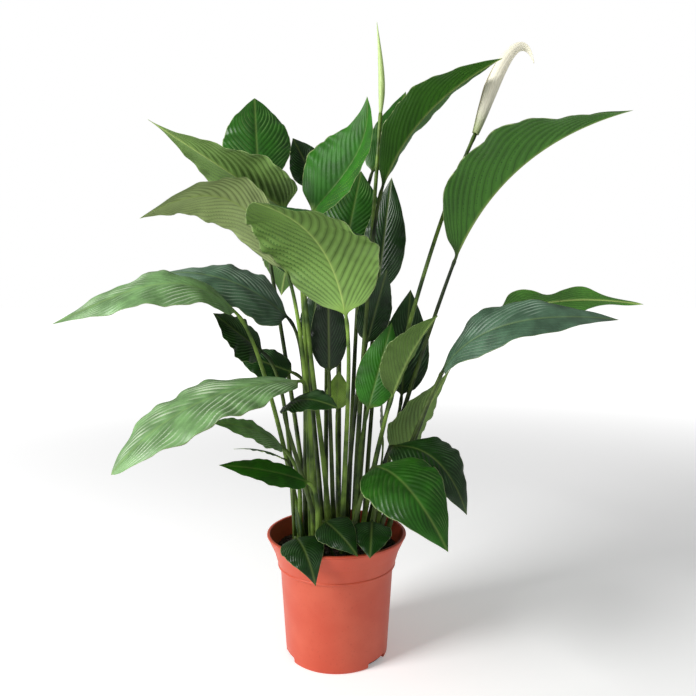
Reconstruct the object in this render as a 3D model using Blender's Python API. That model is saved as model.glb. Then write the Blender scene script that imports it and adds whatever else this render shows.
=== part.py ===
"""A potted peace lily: turned nursery pot, soil, one closed solid for each grown leaf, a bud and a flower.

Metres, +Z up. The origin is the centre of the pot's underside, and -Y is the plant's front.
A leaf is one piece: a round stem that flattens into a thin blade, lofted through eight-point rings.
"""

import math
from typing import NamedTuple

import bmesh
import bpy
import numpy as np

# Pot
POT_HEIGHT = 0.149
POT_MOUTH_RADIUS = 0.0855
POT_FOOT_RADIUS = 0.0625
POT_BODY_RADIUS = 0.0695
POT_WALL = 0.0020
POT_FLOOR = 0.0030
LIP_WIDTH = 0.0040
LIP_HEIGHT = 0.0025
LIP_FLARE_DEPTH = 0.0210
COLLAR_RADIUS = 0.0762
COLLAR_DEPTH = 0.0380
COLLAR_TAPER = 0.0045
BEAD_HEIGHT = 0.0030
BEAD_PROUD = 0.0008
FOOT_CHAMFER = 0.0015
POT_SIDES = 48
DRAIN_COUNT = 3
DRAIN_HEIGHT = 0.0065
DRAIN_WIDTH = 0.032
DRAIN_INSET = 0.0080
DRAIN_START = math.radians(-38)

# Soil
SOIL_BELOW_RIM = 0.020
SOIL_CLEARANCE = 0.0004
SOIL_CROWN = 0.0015
SOCKET_DEPTH = 0.016
SOCKET_CLEARANCE = 0.0004
SOCKET_SIDES = 16

# Leaves
STEM_FOOT_RADIUS = 0.0034
STEM_TOP_RADIUS = 0.0019
BLADE_THICKNESS = 0.0011
MIDRIB_TIP = 0.0006
STEM_LEAN = 0.6
STEM_BEND = 0.35
STALK_CROOK = 0.12
RIB_SHARE = 0.7
STEM_RINGS = 7
BLADE_RINGS = 10
RING_POINTS = 8
SECTION_STEPS = (1.0, 0.52, 0.0, -0.52, -1.0)
WAVES_PER_EDGE = 3

# Flower and bud
STALK_TAPER = 0.75
FLOWER_STALK_RADIUS = 0.0030
FLOWER_STALK_FOOT = (0.46, 0.44)
FLOWER_AT = (0.169, 0.022, 0.635)
FLOWER_AIM = (0.42, 0.0, 0.907)
SPATHE_TIP = (0.236, 0.012, 0.714)
SPATHE_PEAK = (0.214, 0.014, 0.772)
SPATHE_REACH = 0.040
SPATHE_THICKNESS = 0.0009
SPATHE_ARC_STEPS = 6
# Along the spathe: share of its length, radius that it is rolled to, half angle of the roll.
SPATHE_ROLL = (
    (0.00, 0.0042, 158),
    (0.15, 0.0054, 160),
    (0.35, 0.0066, 158),
    (0.50, 0.0064, 148),
    (0.62, 0.0064, 126),
    (0.74, 0.0074, 88),
    (0.86, 0.0084, 50),
    (0.95, 0.0080, 26),
)
SPADIX_RADIUS = 0.0038
SPADIX_START = 0.03
SPADIX_END = 0.50
SPADIX_SWELL = (0.70, 0.82, 0.90, 0.96, 1.0, 0.98, 0.86, 0.5)
BUD_STALK_RADIUS = 0.0030
BUD_STALK_FOOT = (0.30, 0.46)
BUD_AT = (0.054, 0.032, 0.662)
BUD_TIP = (0.049, 0.032, 0.771)
BUD_BOW = 0.005
BUD_RADIUS = 0.0042
BUD_SWELL = (0.50, 0.80, 0.97, 1.0, 0.92, 0.78, 0.60, 0.42, 0.24)
STALK_RINGS = 10
PART_GAP = 0.0004

LEAF_GREEN = (0.030, 0.120, 0.025)
POT_TERRACOTTA = (0.62, 0.135, 0.085)
SOIL_BROWN = (0.022, 0.012, 0.008)
PETAL_CREAM = (0.85, 0.80, 0.62)
BUD_GREEN = (0.48, 0.62, 0.26)
STALK_GREEN = (0.16, 0.30, 0.06)


class Leaf(NamedTuple):
    """One grown leaf. Places are (x, y, z); foot is on the soil, as shares of the soil's radius.

    neck is where the blade starts and tip its point. face is the way that the blade's upper side
    looks. rise and sway bow the midrib, at a third and two thirds of its length, towards the upper
    side and to the right as seen along the blade. fold and curl are degrees for the left and the
    right half: fold lifts the half at the midrib and curl bends its edge down. twist turns the tip.
    """

    name: str
    foot: tuple
    neck: tuple
    tip: tuple
    width: float
    face: tuple
    rise: tuple = (0.0, 0.0)
    sway: tuple = (0.0, 0.0)
    fold: tuple = (8, 8)
    fold_tip: tuple = None
    curl: tuple = (25, 25)
    curl_tip: tuple = None
    twist: float = 0.0
    belly: float = 0.38
    taper: float = 1.75
    wave: float = 0.05
    crook: float = 0.05
    stem: float = 1.0


LEAVES = (
    Leaf(
        "leaf_crown_back_left", (-0.56, 0.80), (-0.105, 0.095, 0.587), (-0.117, 0.150, 0.715), 0.094,
        (0.1, -1, 0.2), belly=0.45,
    ),
    Leaf(
        "leaf_crown_left", (-0.46, 0.02), (-0.058, -0.010, 0.539), (-0.198, -0.085, 0.624), 0.130,
        (0.4, 0.7, 0.6), fold=(0, 30), belly=0.25, taper=2.3, crook=0.03,
    ),
    Leaf(
        "leaf_upper_left", (-0.32, -0.18), (-0.056, -0.030, 0.463), (-0.201, -0.110, 0.517), 0.090,
        (0.1, 0.6, 0.8), rise=(0.110, 0.080), belly=0.42,
    ),
    Leaf(
        "leaf_great_centre", (0.10, -0.36), (0.012, -0.060, 0.414), (-0.074, -0.170, 0.525), 0.155,
        (0.45, 0.75, 0.45), rise=(0.055, 0.040), fold=(0, 15), belly=0.45, taper=1.5,
    ),
    Leaf(
        "leaf_crown_bright", (-0.12, 0.02), (-0.028, -0.020, 0.534), (0.035, -0.050, 0.658), 0.105,
        (-0.3, -1, 0.1), sway=(0.012, 0.036), fold=(5, 65), belly=0.35,
    ),
    Leaf(
        "leaf_crown_tall", (0.30, 0.20), (0.055, 0.010, 0.567), (0.189, -0.030, 0.706), 0.100,
        (-0.45, 0.75, 0.45), rise=(0.050, 0.045), fold=(60, 0), belly=0.4,
    ),
    Leaf(
        "leaf_upper_right", (0.62, 0.34), (0.144, 0.010, 0.482), (0.330, -0.050, 0.643), 0.165,
        (-0.25, 0.95, 0.2), rise=(0.020, 0.020), sway=(0.040, 0.040), fold=(75, 0), twist=-45,
        belly=0.42, taper=2.5, crook=0.012,
    ),
    Leaf(
        "leaf_far_right_back", (0.88, -0.02), (0.149, 0.004, 0.375), (0.362, -0.020, 0.428), 0.055,
        (0, 0.7, 0.7), rise=(0.060, 0.045), wave=0.35,
    ),
    Leaf(
        "leaf_far_right", (0.70, -0.20), (0.125, -0.022, 0.348), (0.305, -0.090, 0.412), 0.074,
        (-0.2, -0.75, 0.6), rise=(0.085, 0.055), fold=(0, 35), wave=0.1, crook=0.02,
    ),
    Leaf(
        "leaf_far_left", (-0.58, -0.16), (-0.113, -0.035, 0.416), (-0.297, -0.105, 0.408), 0.080,
        (-0.2, -0.6, 0.75), rise=(0.085, 0.030), fold=(12, 0), wave=0.08,
    ),
    Leaf(
        "leaf_mid_left_grey", (-0.58, 0.24), (-0.061, 0.026, 0.411), (-0.210, -0.004, 0.465), 0.100,
        (0.3, -0.5, 0.8), rise=(0.030, 0.030), belly=0.3, taper=2.0,
    ),
    Leaf(
        "leaf_low_left_great", (-0.40, -0.36), (-0.039, -0.050, 0.341), (-0.219, -0.160, 0.262), 0.115,
        (-0.2, -0.3, 0.9), rise=(0.035, 0.045), belly=0.5, taper=1.5, crook=0.015,
    ),
    Leaf(
        "leaf_centre_hooked", (-0.24, -0.50), (-0.058, -0.060, 0.312), (0.004, -0.100, 0.318), 0.058,
        (0, -0.35, 0.94), crook=0.012, rise=(0.018, 0.010),
    ),
    Leaf(
        "leaf_low_left_striped", (-0.64, -0.32), (-0.061, -0.040, 0.261), (-0.136, -0.090, 0.301), 0.050,
        (0, -0.4, 0.9), rise=(0.012, 0.012),
    ),
    Leaf(
        "leaf_low_left_narrow", (-0.76, -0.14), (-0.061, -0.030, 0.246), (-0.121, -0.030, 0.258), 0.030,
        (0, 0.22, 0.97), rise=(0.006, 0.006), stem=0.6, crook=0.015,
    ),
    Leaf(
        "leaf_low_left_bright", (-0.30, -0.74), (-0.031, -0.060, 0.226), (-0.123, -0.110, 0.259), 0.042,
        (0, -0.5, 0.85), rise=(0.008, 0.006), crook=0.02,
    ),
    Leaf(
        "leaf_rim_left", (-0.64, -0.56), (-0.046, -0.055, 0.160), (-0.021, -0.100, 0.122), 0.050,
        (0, -0.5, 0.85), rise=(0.022, 0.022), belly=0.3, crook=0.015, stem=0.6,
    ),
    Leaf(
        "leaf_rim_middle", (-0.04, -0.70), (-0.013, -0.048, 0.177), (0.025, -0.092, 0.152), 0.046,
        (0, -0.6, 0.8), rise=(0.008, 0.008), belly=0.3, crook=0.015, stem=0.6,
    ),
    Leaf(
        "leaf_rim_right", (0.50, -0.66), (0.042, -0.045, 0.176), (0.038, -0.092, 0.150), 0.047,
        (0, -0.6, 0.8), rise=(0.008, 0.008), belly=0.35, crook=0.015, stem=0.6,
    ),
    Leaf(
        "leaf_low_right_great", (0.20, -0.60), (0.044, -0.066, 0.246), (0.113, -0.163, 0.185), 0.085,
        (0.1, -0.75, 0.65), rise=(0.040, 0.035), crook=0.02,
    ),
    Leaf(
        "leaf_low_right_back", (0.56, -0.34), (0.067, -0.021, 0.259), (0.146, -0.081, 0.195), 0.080,
        (0.3, -0.6, 0.75), rise=(0.045, 0.040), crook=0.015,
    ),
    Leaf(
        "leaf_inner_right_grey", (0.72, 0.16), (0.078, 0.016, 0.236), (0.142, 0.016, 0.350), 0.100,
        (-0.45, 0.85, 0.25), fold=(48, 0), belly=0.3, taper=2.4,
    ),
    Leaf(
        "leaf_inner_right_upright", (0.56, 0.56), (0.082, 0.034, 0.312), (0.096, 0.070, 0.447), 0.065,
        (0.1, -1, 0.2),
    ),
    Leaf(
        "leaf_inner_right_light", (0.44, 0.02), (0.066, -0.030, 0.320), (0.116, -0.050, 0.416), 0.074,
        (-0.35, 0.9, 0), rise=(0.015, 0.015), fold=(70, 0), belly=0.4,
    ),
    Leaf(
        "leaf_inner_right_green", (0.30, -0.20), (0.038, -0.012, 0.302), (0.067, 0.002, 0.406), 0.052,
        (-0.2, -1, 0.1),
    ),
    Leaf(
        "leaf_inner_centre_black", (-0.06, 0.22), (-0.009, 0.000, 0.346), (-0.010, 0.000, 0.457), 0.045,
        (0, -1, 0),
    ),
    Leaf(
        "leaf_inner_centre_left", (-0.26, 0.30), (-0.032, 0.030, 0.377), (-0.024, 0.030, 0.454), 0.040,
        (-0.3, -0.9, 0.2),
    ),
    Leaf(
        "leaf_inner_centre_right", (0.14, 0.38), (0.037, 0.020, 0.380), (0.062, 0.020, 0.471), 0.045,
        (0.3, -0.9, 0),
    ),
    Leaf(
        "leaf_back_upright", (0.38, 0.74), (0.052, 0.054, 0.444), (0.070, 0.062, 0.590), 0.058,
        (-0.3, -1, 0.1),
    ),
    Leaf(
        "leaf_back_centre", (0.02, 0.66), (0.010, 0.072, 0.499), (0.032, 0.110, 0.607), 0.085,
        (0, -1, 0.3),
    ),
    Leaf(
        "leaf_rear_left", (-0.39, 0.84), (-0.050, 0.085, 0.462), (-0.092, 0.255, 0.440), 0.085,
        (0, 0.1, 1), rise=(0.050, 0.050), fold=(15, 15),
    ),
    Leaf(
        "leaf_rear_right", (0.52, 0.84), (0.058, 0.082, 0.392), (0.090, 0.235, 0.352), 0.070,
        (0, 0.1, 1), rise=(0.035, 0.040), fold=(15, 15),
    ),
    Leaf(
        "leaf_rear_high", (0.00, 0.96), (0.006, 0.108, 0.524), (0.030, 0.270, 0.566), 0.080,
        (0, -0.2, 1), rise=(0.035, 0.035), fold=(15, 15),
    ),
    Leaf(
        "leaf_back_left_small", (-0.22, 0.84), (-0.028, 0.130, 0.591), (-0.065, 0.165, 0.664), 0.052,
        (-0.2, -1, 0.2),
    ),
    Leaf(
        "leaf_mid_left_folded", (-0.74, 0.06), (-0.092, 0.018, 0.369), (-0.146, -0.015, 0.418), 0.080,
        (0.3, -0.5, 0.8), belly=0.35,
    ),
    Leaf(
        "leaf_mid_left_dark", (-0.50, 0.52), (-0.057, 0.040, 0.341), (-0.130, 0.040, 0.368), 0.050,
        (0, -0.7, 0.7),
    ),
    Leaf(
        "leaf_inner_right_young", (0.60, 0.74), (0.059, 0.045, 0.256), (0.057, 0.045, 0.308), 0.018,
        (1, -0.3, 0), stem=0.6,
    ),
    Leaf(
        "leaf_inner_small", (0.08, 0.06), (0.000, 0.022, 0.296), (0.003, 0.022, 0.345), 0.030,
        (0, -1, 0.1), stem=0.6,
    ),
    Leaf(
        "shoot_left", (-0.66, -0.42), (-0.043, -0.030, 0.150), (-0.048, -0.032, 0.193), 0.007,
        (-0.2, -1, 0), crook=0.01, stem=0.6,
    ),
    Leaf(
        "leaf_crown_back_right", (0.20, 0.92), (0.047, 0.120, 0.607), (0.095, 0.150, 0.724), 0.050,
        (-0.2, -1, 0.2),
    ),
)


def unit(vector):
    vector = np.asarray(vector, dtype=float)
    return vector / np.linalg.norm(vector)


def bezier(points, shares):
    """Points and unit directions of a cubic Bezier curve at the given shares of its parameter."""
    t = np.asarray(shares, dtype=float)[:, None]
    u = 1 - t
    a, b, c, d = (np.asarray(point, dtype=float) for point in points)
    places = u**3 * a + 3 * u * u * t * b + 3 * u * t * t * c + t**3 * d
    along = u * u * (b - a) + 2 * u * t * (c - b) + t * t * (d - c)
    return places, along / np.linalg.norm(along, axis=1)[:, None]


def soil_top():
    return POT_HEIGHT - SOIL_BELOW_RIM


def wall_radius(height):
    """Outer radius of the pot's wall at a height, without the bead."""
    collar_top = POT_HEIGHT - LIP_FLARE_DEPTH
    collar_foot = POT_HEIGHT - COLLAR_DEPTH
    heights = (0.0, collar_foot, collar_foot + 1e-6, collar_top, POT_HEIGHT)
    radii = (
        POT_FOOT_RADIUS,
        POT_BODY_RADIUS,
        COLLAR_RADIUS - COLLAR_TAPER,
        COLLAR_RADIUS,
        POT_MOUTH_RADIUS - LIP_WIDTH + POT_WALL,
    )
    return float(np.interp(height, heights, radii))


def soil_radius(height):
    return wall_radius(height) - POT_WALL - SOIL_CLEARANCE


def foot_place(shares):
    """Where a stem clears the soil's crown, from shares of the soil's radius."""
    reach = soil_radius(soil_top()) - 2 * STEM_FOOT_RADIUS
    return np.array((shares[0] * reach, shares[1] * reach, soil_top() + SOIL_CROWN))


def midrib_frame(leaf):
    """The midrib's four control points, and the blade's right side across its length."""
    neck, tip = np.array(leaf.neck), np.array(leaf.tip)
    along = unit(tip - neck)
    upper = unit(np.array(leaf.face) - np.dot(leaf.face, along) * along)
    right = np.cross(along, upper)
    third = (tip - neck) / 3
    controls = (
        neck,
        neck + third + upper * leaf.rise[0] + right * leaf.sway[0],
        tip - third + upper * leaf.rise[1] + right * leaf.sway[1],
        tip,
    )
    return controls, right


def blade_axes(leaf, shares):
    """Midrib places with the blade's right and upper directions at each."""
    controls, right = midrib_frame(leaf)
    places, along = bezier(controls, shares)
    side = right - (along @ right)[:, None] * along
    side /= np.linalg.norm(side, axis=1)[:, None]
    upper = np.cross(side, along)
    turn = math.radians(leaf.twist) * np.asarray(shares)[:, None]
    return (
        places,
        side * np.cos(turn) + upper * np.sin(turn),
        upper * np.cos(turn) - side * np.sin(turn),
    )


def half_width(leaf, share):
    """The blade's half width: round near the neck, drawn out to a point at the tip."""
    first, last = leaf.taper * leaf.belly, leaf.taper * (1 - leaf.belly)
    shape = share**first * (1 - share) ** last
    return leaf.width / 2 * shape / (leaf.belly**first * (1 - leaf.belly) ** last)


def section_offset(leaf, share, across):
    """Sideways and upward offsets, as shares of the half width, at across from -1 (left) to 1 (right)."""
    side = 1 if across > 0 else 0
    fold_end = leaf.fold_tip or leaf.fold
    curl_end = leaf.curl_tip or leaf.curl
    fold = math.radians(leaf.fold[side] * (1 - share) + fold_end[side] * share)
    curl = math.radians(leaf.curl[side] * (1 - share) + curl_end[side] * share) + 1e-6
    reach = abs(across)
    out = (math.sin(fold) - math.sin(fold - curl * reach)) / curl
    lift = (math.cos(fold - curl * reach) - math.cos(fold)) / curl
    phase = leaf.width * 200 + 2.2 * side
    lift += leaf.wave * reach**2 * math.sin(2 * math.pi * WAVES_PER_EDGE * share + phase)
    return math.copysign(out, across), lift


def stem_curve(leaf):
    """Control points of the stem, which leaves the soil upright and joins the midrib's line."""
    foot = foot_place(leaf.foot)
    controls, _ = midrib_frame(leaf)
    start = unit(controls[1] - controls[0])
    lean = (controls[0] - foot) * (STEM_LEAN, STEM_LEAN, 1)
    return foot, foot + STEM_BEND * lean, controls[0] - start * leaf.crook, controls[0]


def carried_axes(directions, side, upper):
    """Axes carried back down a stem from its top without turning about it."""
    axes = [(side, upper)]
    for direction in directions[::-1][1:]:
        side = unit(side - np.dot(side, direction) * direction)
        axes.append((side, np.cross(side, direction)))
    return axes[::-1]


def level_axes(side, upper):
    """The same axes turned level, for the flat end of a stem in its socket."""
    side = unit((side[0], side[1], 0)) if abs(side[2]) < 0.9 else unit((upper[0], upper[1], 0))
    return side, np.cross(side, (0, 0, 1))


def round_ring(centre, radius, right, up):
    turns = np.linspace(0, 2 * math.pi, RING_POINTS, endpoint=False)
    return [centre + radius * (math.cos(turn) * right + math.sin(turn) * up) for turn in turns]


def stem_rings(leaf, side, upper):
    """Eight-point rings from the foot in its socket up to just under the neck."""
    shares = np.linspace(0, 1, STEM_RINGS + 1)
    places, directions = bezier(stem_curve(leaf), shares)
    axes = carried_axes(directions, side, upper)
    places, axes = list(places[:-1]), axes[:-1]
    places.insert(0, places[0] - np.array((0, 0, SOCKET_DEPTH - PART_GAP)))
    axes.insert(0, level_axes(*axes[0]))
    rings = []
    for index, (place, (right, up)) in enumerate(zip(places, axes)):
        share = max(index - 1, 0) / STEM_RINGS
        radius = leaf.stem * (STEM_FOOT_RADIUS * (1 - share) + STEM_TOP_RADIUS * share)
        rings.append(round_ring(place, radius, right, up))
    return rings


def blade_rings(leaf):
    """Eight-point rings from the neck to just short of the tip: edge, upper side, edge, under side."""
    shares = np.linspace(0, 1, BLADE_RINGS + 1)[:-1] ** 1.1
    shares[0] = 0.004
    places, rights, uppers = blade_axes(leaf, shares)
    rings = []
    for share, place, right, upper in zip(shares, places, rights, uppers):
        neck_radius = STEM_TOP_RADIUS * leaf.stem
        half = max(half_width(leaf, share), neck_radius)
        rib = neck_radius * (1 - share) + MIDRIB_TIP * share
        points = []
        for across in SECTION_STEPS:
            out, lift = section_offset(leaf, share, across)
            points.append(place + half * (out * right + lift * upper))
        body = min(BLADE_THICKNESS / 2, rib * RIB_SHARE) * upper
        rib_top, rib_foot = 0.5 * rib * upper, rib * upper
        edge, near, middle, far, other = points
        upper_side = [near + body, middle + rib_top, far + body]
        under_side = [far - body, middle - rib_foot, near - body]
        rings.append([edge, *upper_side, other, *under_side])
    return rings


def link(name, mesh, material):
    """A scene object made from a finished bmesh, shaded smooth but for its sharp edges."""
    bmesh.ops.recalc_face_normals(mesh, faces=mesh.faces)
    data = bpy.data.meshes.new(name)
    mesh.to_mesh(data)
    mesh.free()
    data.materials.append(material)
    data.shade_smooth()
    data.set_sharp_from_angle(angle=math.radians(40))
    obj = bpy.data.objects.new(name, data)
    bpy.context.scene.collection.objects.link(obj)
    return obj


def loft(rings, point=None):
    """A closed bmesh through rings of equal length, ended by a point or by a flat cap.

    The far half of each ring is split the other way, so both sides of a thin sheet bend alike.
    """
    mesh = bmesh.new()
    loops = [[mesh.verts.new(place) for place in ring] for ring in rings]
    count = len(loops[0])
    for lower, upper in zip(loops, loops[1:]):
        for i in range(count):
            j = (i + 1) % count
            if i < count // 2:
                mesh.faces.new((lower[i], lower[j], upper[j]))
                mesh.faces.new((lower[i], upper[j], upper[i]))
            else:
                mesh.faces.new((lower[i], lower[j], upper[i]))
                mesh.faces.new((lower[j], upper[j], upper[i]))
    mesh.faces.new(loops[0][::-1])
    if point is None:
        mesh.faces.new(loops[-1])
    else:
        end = mesh.verts.new(point)
        for i in range(count):
            mesh.faces.new((loops[-1][i], loops[-1][(i + 1) % count], end))
    return mesh


def spun(profile, sides=POT_SIDES):
    """A closed bmesh turned about Z from a profile in the XZ plane whose ends lie on the axis or meet."""
    mesh = bmesh.new()
    points = [mesh.verts.new((radius, 0, height)) for radius, height in profile]
    edges = [mesh.edges.new(pair) for pair in zip(points, points[1:])]
    bmesh.ops.spin(
        mesh,
        geom=points + edges,
        cent=(0, 0, 0),
        axis=(0, 0, 1),
        angle=2 * math.pi,
        steps=sides,
        use_merge=True,
    )
    bmesh.ops.remove_doubles(mesh, verts=mesh.verts, dist=1e-6)
    return mesh


def make_material(name, colour, roughness):
    material = bpy.data.materials.new(name)
    material.use_nodes = True
    shader = material.node_tree.nodes["Principled BSDF"]
    shader.inputs["Base Color"].default_value = (*colour, 1)
    shader.inputs["Roughness"].default_value = roughness
    shader.inputs["Metallic"].default_value = 0.0
    return material


def cut(target, cutter):
    """Takes the cutter out of the target with an exact Boolean and hides the cutter."""
    modifier = target.modifiers.new(f"cut {cutter.name}", "BOOLEAN")
    modifier.operation = "DIFFERENCE"
    modifier.object = cutter
    cutter.hide_render = True
    cutter.display_type = "WIRE"


def pot_profile():
    """The pot's section: down the outside from the lip, under the floor and back up the inside."""
    flare_foot = POT_HEIGHT - LIP_FLARE_DEPTH
    collar_foot = POT_HEIGHT - COLLAR_DEPTH
    collar_low = COLLAR_RADIUS - COLLAR_TAPER
    inner_mouth = POT_MOUTH_RADIUS - LIP_WIDTH
    outside = [
        (POT_MOUTH_RADIUS - LIP_HEIGHT / 3, POT_HEIGHT),
        (POT_MOUTH_RADIUS, POT_HEIGHT - LIP_HEIGHT / 3),
        (POT_MOUTH_RADIUS, POT_HEIGHT - LIP_HEIGHT),
        (COLLAR_RADIUS, flare_foot),
        (collar_low, collar_foot + BEAD_HEIGHT),
        (collar_low + BEAD_PROUD, collar_foot + BEAD_HEIGHT * 0.75),
        (collar_low + BEAD_PROUD, collar_foot + BEAD_HEIGHT * 0.25),
        (POT_BODY_RADIUS, collar_foot - BEAD_HEIGHT * 0.25),
        (POT_FOOT_RADIUS, FOOT_CHAMFER),
        (POT_FOOT_RADIUS - FOOT_CHAMFER, 0),
        (0, 0),
    ]
    inside = [
        (0, POT_FLOOR),
        (wall_radius(POT_FLOOR) - POT_WALL, POT_FLOOR),
        (POT_BODY_RADIUS - POT_WALL, collar_foot - BEAD_HEIGHT * 0.25),
        (collar_low - POT_WALL, collar_foot + BEAD_HEIGHT * 0.25),
        (COLLAR_RADIUS - POT_WALL, flare_foot),
        (inner_mouth, POT_HEIGHT - LIP_HEIGHT),
        (inner_mouth, POT_HEIGHT),
    ]
    return outside + inside + outside[:1]


def drain_cutter(material):
    """Blocks set round the pot's bottom edge, one for each drain notch."""
    mesh = bmesh.new()
    for index in range(DRAIN_COUNT):
        turn = DRAIN_START + index * 2 * math.pi / DRAIN_COUNT
        made = bmesh.ops.create_cube(mesh, size=1.0)["verts"]
        bmesh.ops.scale(mesh, verts=made, vec=(2 * DRAIN_INSET, DRAIN_WIDTH, 2 * DRAIN_HEIGHT))
        bmesh.ops.translate(mesh, verts=made, vec=(POT_FOOT_RADIUS, 0, 0))
        spin = np.array(((math.cos(turn), -math.sin(turn)), (math.sin(turn), math.cos(turn))))
        for vert in made:
            vert.co.xy = spin @ np.array(vert.co.xy)
    return link("drain_cutter", mesh, material)


def build_pot(material):
    pot = link("pot", spun(pot_profile()), material)
    cut(pot, drain_cutter(material))
    return pot


def soil_profile():
    top = soil_top()
    collar_foot = POT_HEIGHT - COLLAR_DEPTH - BEAD_HEIGHT * 0.25
    floor = POT_FLOOR + SOIL_CLEARANCE
    above = (POT_HEIGHT - COLLAR_DEPTH) + BEAD_HEIGHT * 0.25
    body = POT_BODY_RADIUS - POT_WALL - SOIL_CLEARANCE
    collar = COLLAR_RADIUS - COLLAR_TAPER - POT_WALL - SOIL_CLEARANCE
    return [
        (0, top + SOIL_CROWN),
        (0.7 * soil_radius(top), top + SOIL_CROWN * 0.6),
        (soil_radius(top), top),
        (collar, above),
        (body, collar_foot),
        (soil_radius(floor), floor),
        (0, floor),
    ]


def build_soil(material, feet):
    """The root ball's soil, with a round socket for each foot."""
    soil = link("soil", spun(soil_profile(), 36), material)
    mesh = bmesh.new()
    for place, radius in feet:
        made = bmesh.ops.create_cone(
            mesh,
            cap_ends=True,
            segments=SOCKET_SIDES,
            radius1=(radius + SOCKET_CLEARANCE) / math.cos(math.pi / SOCKET_SIDES),
            radius2=(radius + SOCKET_CLEARANCE) / math.cos(math.pi / SOCKET_SIDES),
            depth=2 * SOCKET_DEPTH,
        )["verts"]
        bmesh.ops.translate(mesh, verts=made, vec=place)
    cut(soil, link("socket_cutter", mesh, material))
    return soil


def build_leaf(leaf, material):
    _, rights, uppers = blade_axes(leaf, [0.0])
    rings = stem_rings(leaf, rights[0], uppers[0]) + blade_rings(leaf)
    return link(leaf.name, loft(rings, leaf.tip), material)


def tube_axes(controls, shares):
    """Places along a Bezier curve, with two axes square to it at each."""
    places, directions = bezier(controls, shares)
    side = unit(np.cross((0, 1, 0), directions[-1]))
    axes = carried_axes(directions, side, np.cross(side, directions[-1]))
    return list(places), axes


def build_stalk(name, foot, top, aim, radius, material):
    """A flower's round stalk, from its socket in the soil to just under the flower."""
    place = foot_place(foot)
    rise = (np.array(top) - place) * (STEM_LEAN, STEM_LEAN, 1)
    controls = (place, place + STEM_BEND * rise, np.array(top) - STALK_CROOK * unit(aim), top)
    places, axes = tube_axes(controls, np.linspace(0, 1, STALK_RINGS + 1))
    places.insert(0, place - np.array((0, 0, SOCKET_DEPTH - PART_GAP)))
    axes.insert(0, level_axes(*axes[0]))
    rings = []
    for index, (spot, (right, up)) in enumerate(zip(places, axes)):
        size = radius * (1 - (1 - STALK_TAPER) * max(index - 1, 0) / STALK_RINGS)
        rings.append(round_ring(spot, size, right, up))
    return link(name, loft(rings), material)


def spathe_frame(shares):
    """Places on the spathe's midrib with its outward and sideways directions."""
    aim = unit(FLOWER_AIM)
    across = np.array((0, 1, 0))
    outward = unit(np.cross(across, aim))
    start = np.array(FLOWER_AT) + outward * SPATHE_ROLL[0][1]
    controls = (start, start + SPATHE_REACH * aim, np.array(SPATHE_PEAK), np.array(SPATHE_TIP))
    places, directions = bezier(controls, shares)
    return places, np.cross(across, directions), across


def build_spathe(material):
    """The flower's hood, rolled round the spadix and open towards its curled tip."""
    shares = [row[0] for row in SPATHE_ROLL]
    places, outwards, across = spathe_frame(shares)
    rings = []
    for (share, radius, half), place, outward in zip(SPATHE_ROLL, places, outwards):
        centre = place - outward * radius
        thickness = SPATHE_THICKNESS * (1 - 0.5 * share)
        arc = np.radians(np.linspace(-half, half, SPATHE_ARC_STEPS + 1))
        outer = [centre + radius * (math.cos(a) * outward + math.sin(a) * across) for a in arc]
        inside = radius - thickness
        inner = [centre + inside * (math.cos(a) * outward + math.sin(a) * across) for a in arc[::-1]]
        rings.append(outer + inner)
    return link("spathe", loft(rings, SPATHE_TIP), material)


def build_spadix(material):
    """The flower's club, standing on the stalk inside the spathe."""
    shares = np.linspace(SPADIX_START, SPADIX_END, len(SPADIX_SWELL))
    places, outwards, across = spathe_frame(shares)
    rolls = np.interp(shares, [row[0] for row in SPATHE_ROLL], [row[1] for row in SPATHE_ROLL])
    centres = places - outwards * rolls[:, None]
    rings = []
    for centre, outward, size in zip(centres, outwards, SPADIX_SWELL):
        rings.append(round_ring(centre, SPADIX_RADIUS * size, outward, across))
    return link("spadix", loft(rings), material)


def build_bud(material):
    """The tightly rolled bud: a slender spindle bowed a little to the right."""
    start, tip = np.array(BUD_AT) + (0, 0, PART_GAP), np.array(BUD_TIP)
    bow = np.array((BUD_BOW, 0, 0))
    controls = (start, start + (tip - start) / 3 + bow, tip - (tip - start) / 3 + bow / 2, tip)
    shares = np.linspace(0, 1, len(BUD_SWELL) + 1)[:-1]
    places, axes = tube_axes(controls, shares)
    rings = []
    for place, size, (right, up) in zip(places, BUD_SWELL, axes):
        rings.append(round_ring(place, BUD_RADIUS * size, right, up))
    return link("bud", loft(rings, BUD_TIP), material)


def main():
    for obj in list(bpy.data.objects):
        bpy.data.objects.remove(obj)
    plant = make_material("leaf_green", LEAF_GREEN, 0.35)
    build_pot(make_material("terracotta_plastic", POT_TERRACOTTA, 0.4))
    feet = []
    for leaf in LEAVES:
        build_leaf(leaf, plant)
        feet.append((foot_place(leaf.foot), STEM_FOOT_RADIUS * leaf.stem))
    stalk = make_material("stalk_green", STALK_GREEN, 0.4)
    cream = make_material("petal_cream", PETAL_CREAM, 0.5)
    build_stalk("flower_stalk", FLOWER_STALK_FOOT, FLOWER_AT, FLOWER_AIM, FLOWER_STALK_RADIUS, stalk)
    build_stalk("bud_stalk", BUD_STALK_FOOT, BUD_AT, (0.06, 0, 1), BUD_STALK_RADIUS, stalk)
    feet.append((foot_place(FLOWER_STALK_FOOT), FLOWER_STALK_RADIUS))
    feet.append((foot_place(BUD_STALK_FOOT), BUD_STALK_RADIUS))
    build_spathe(cream)
    build_spadix(cream)
    build_bud(make_material("bud_green", BUD_GREEN, 0.45))
    build_soil(make_material("potting_soil", SOIL_BROWN, 0.95), feet)


if __name__ == "__main__":
    main()
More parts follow.
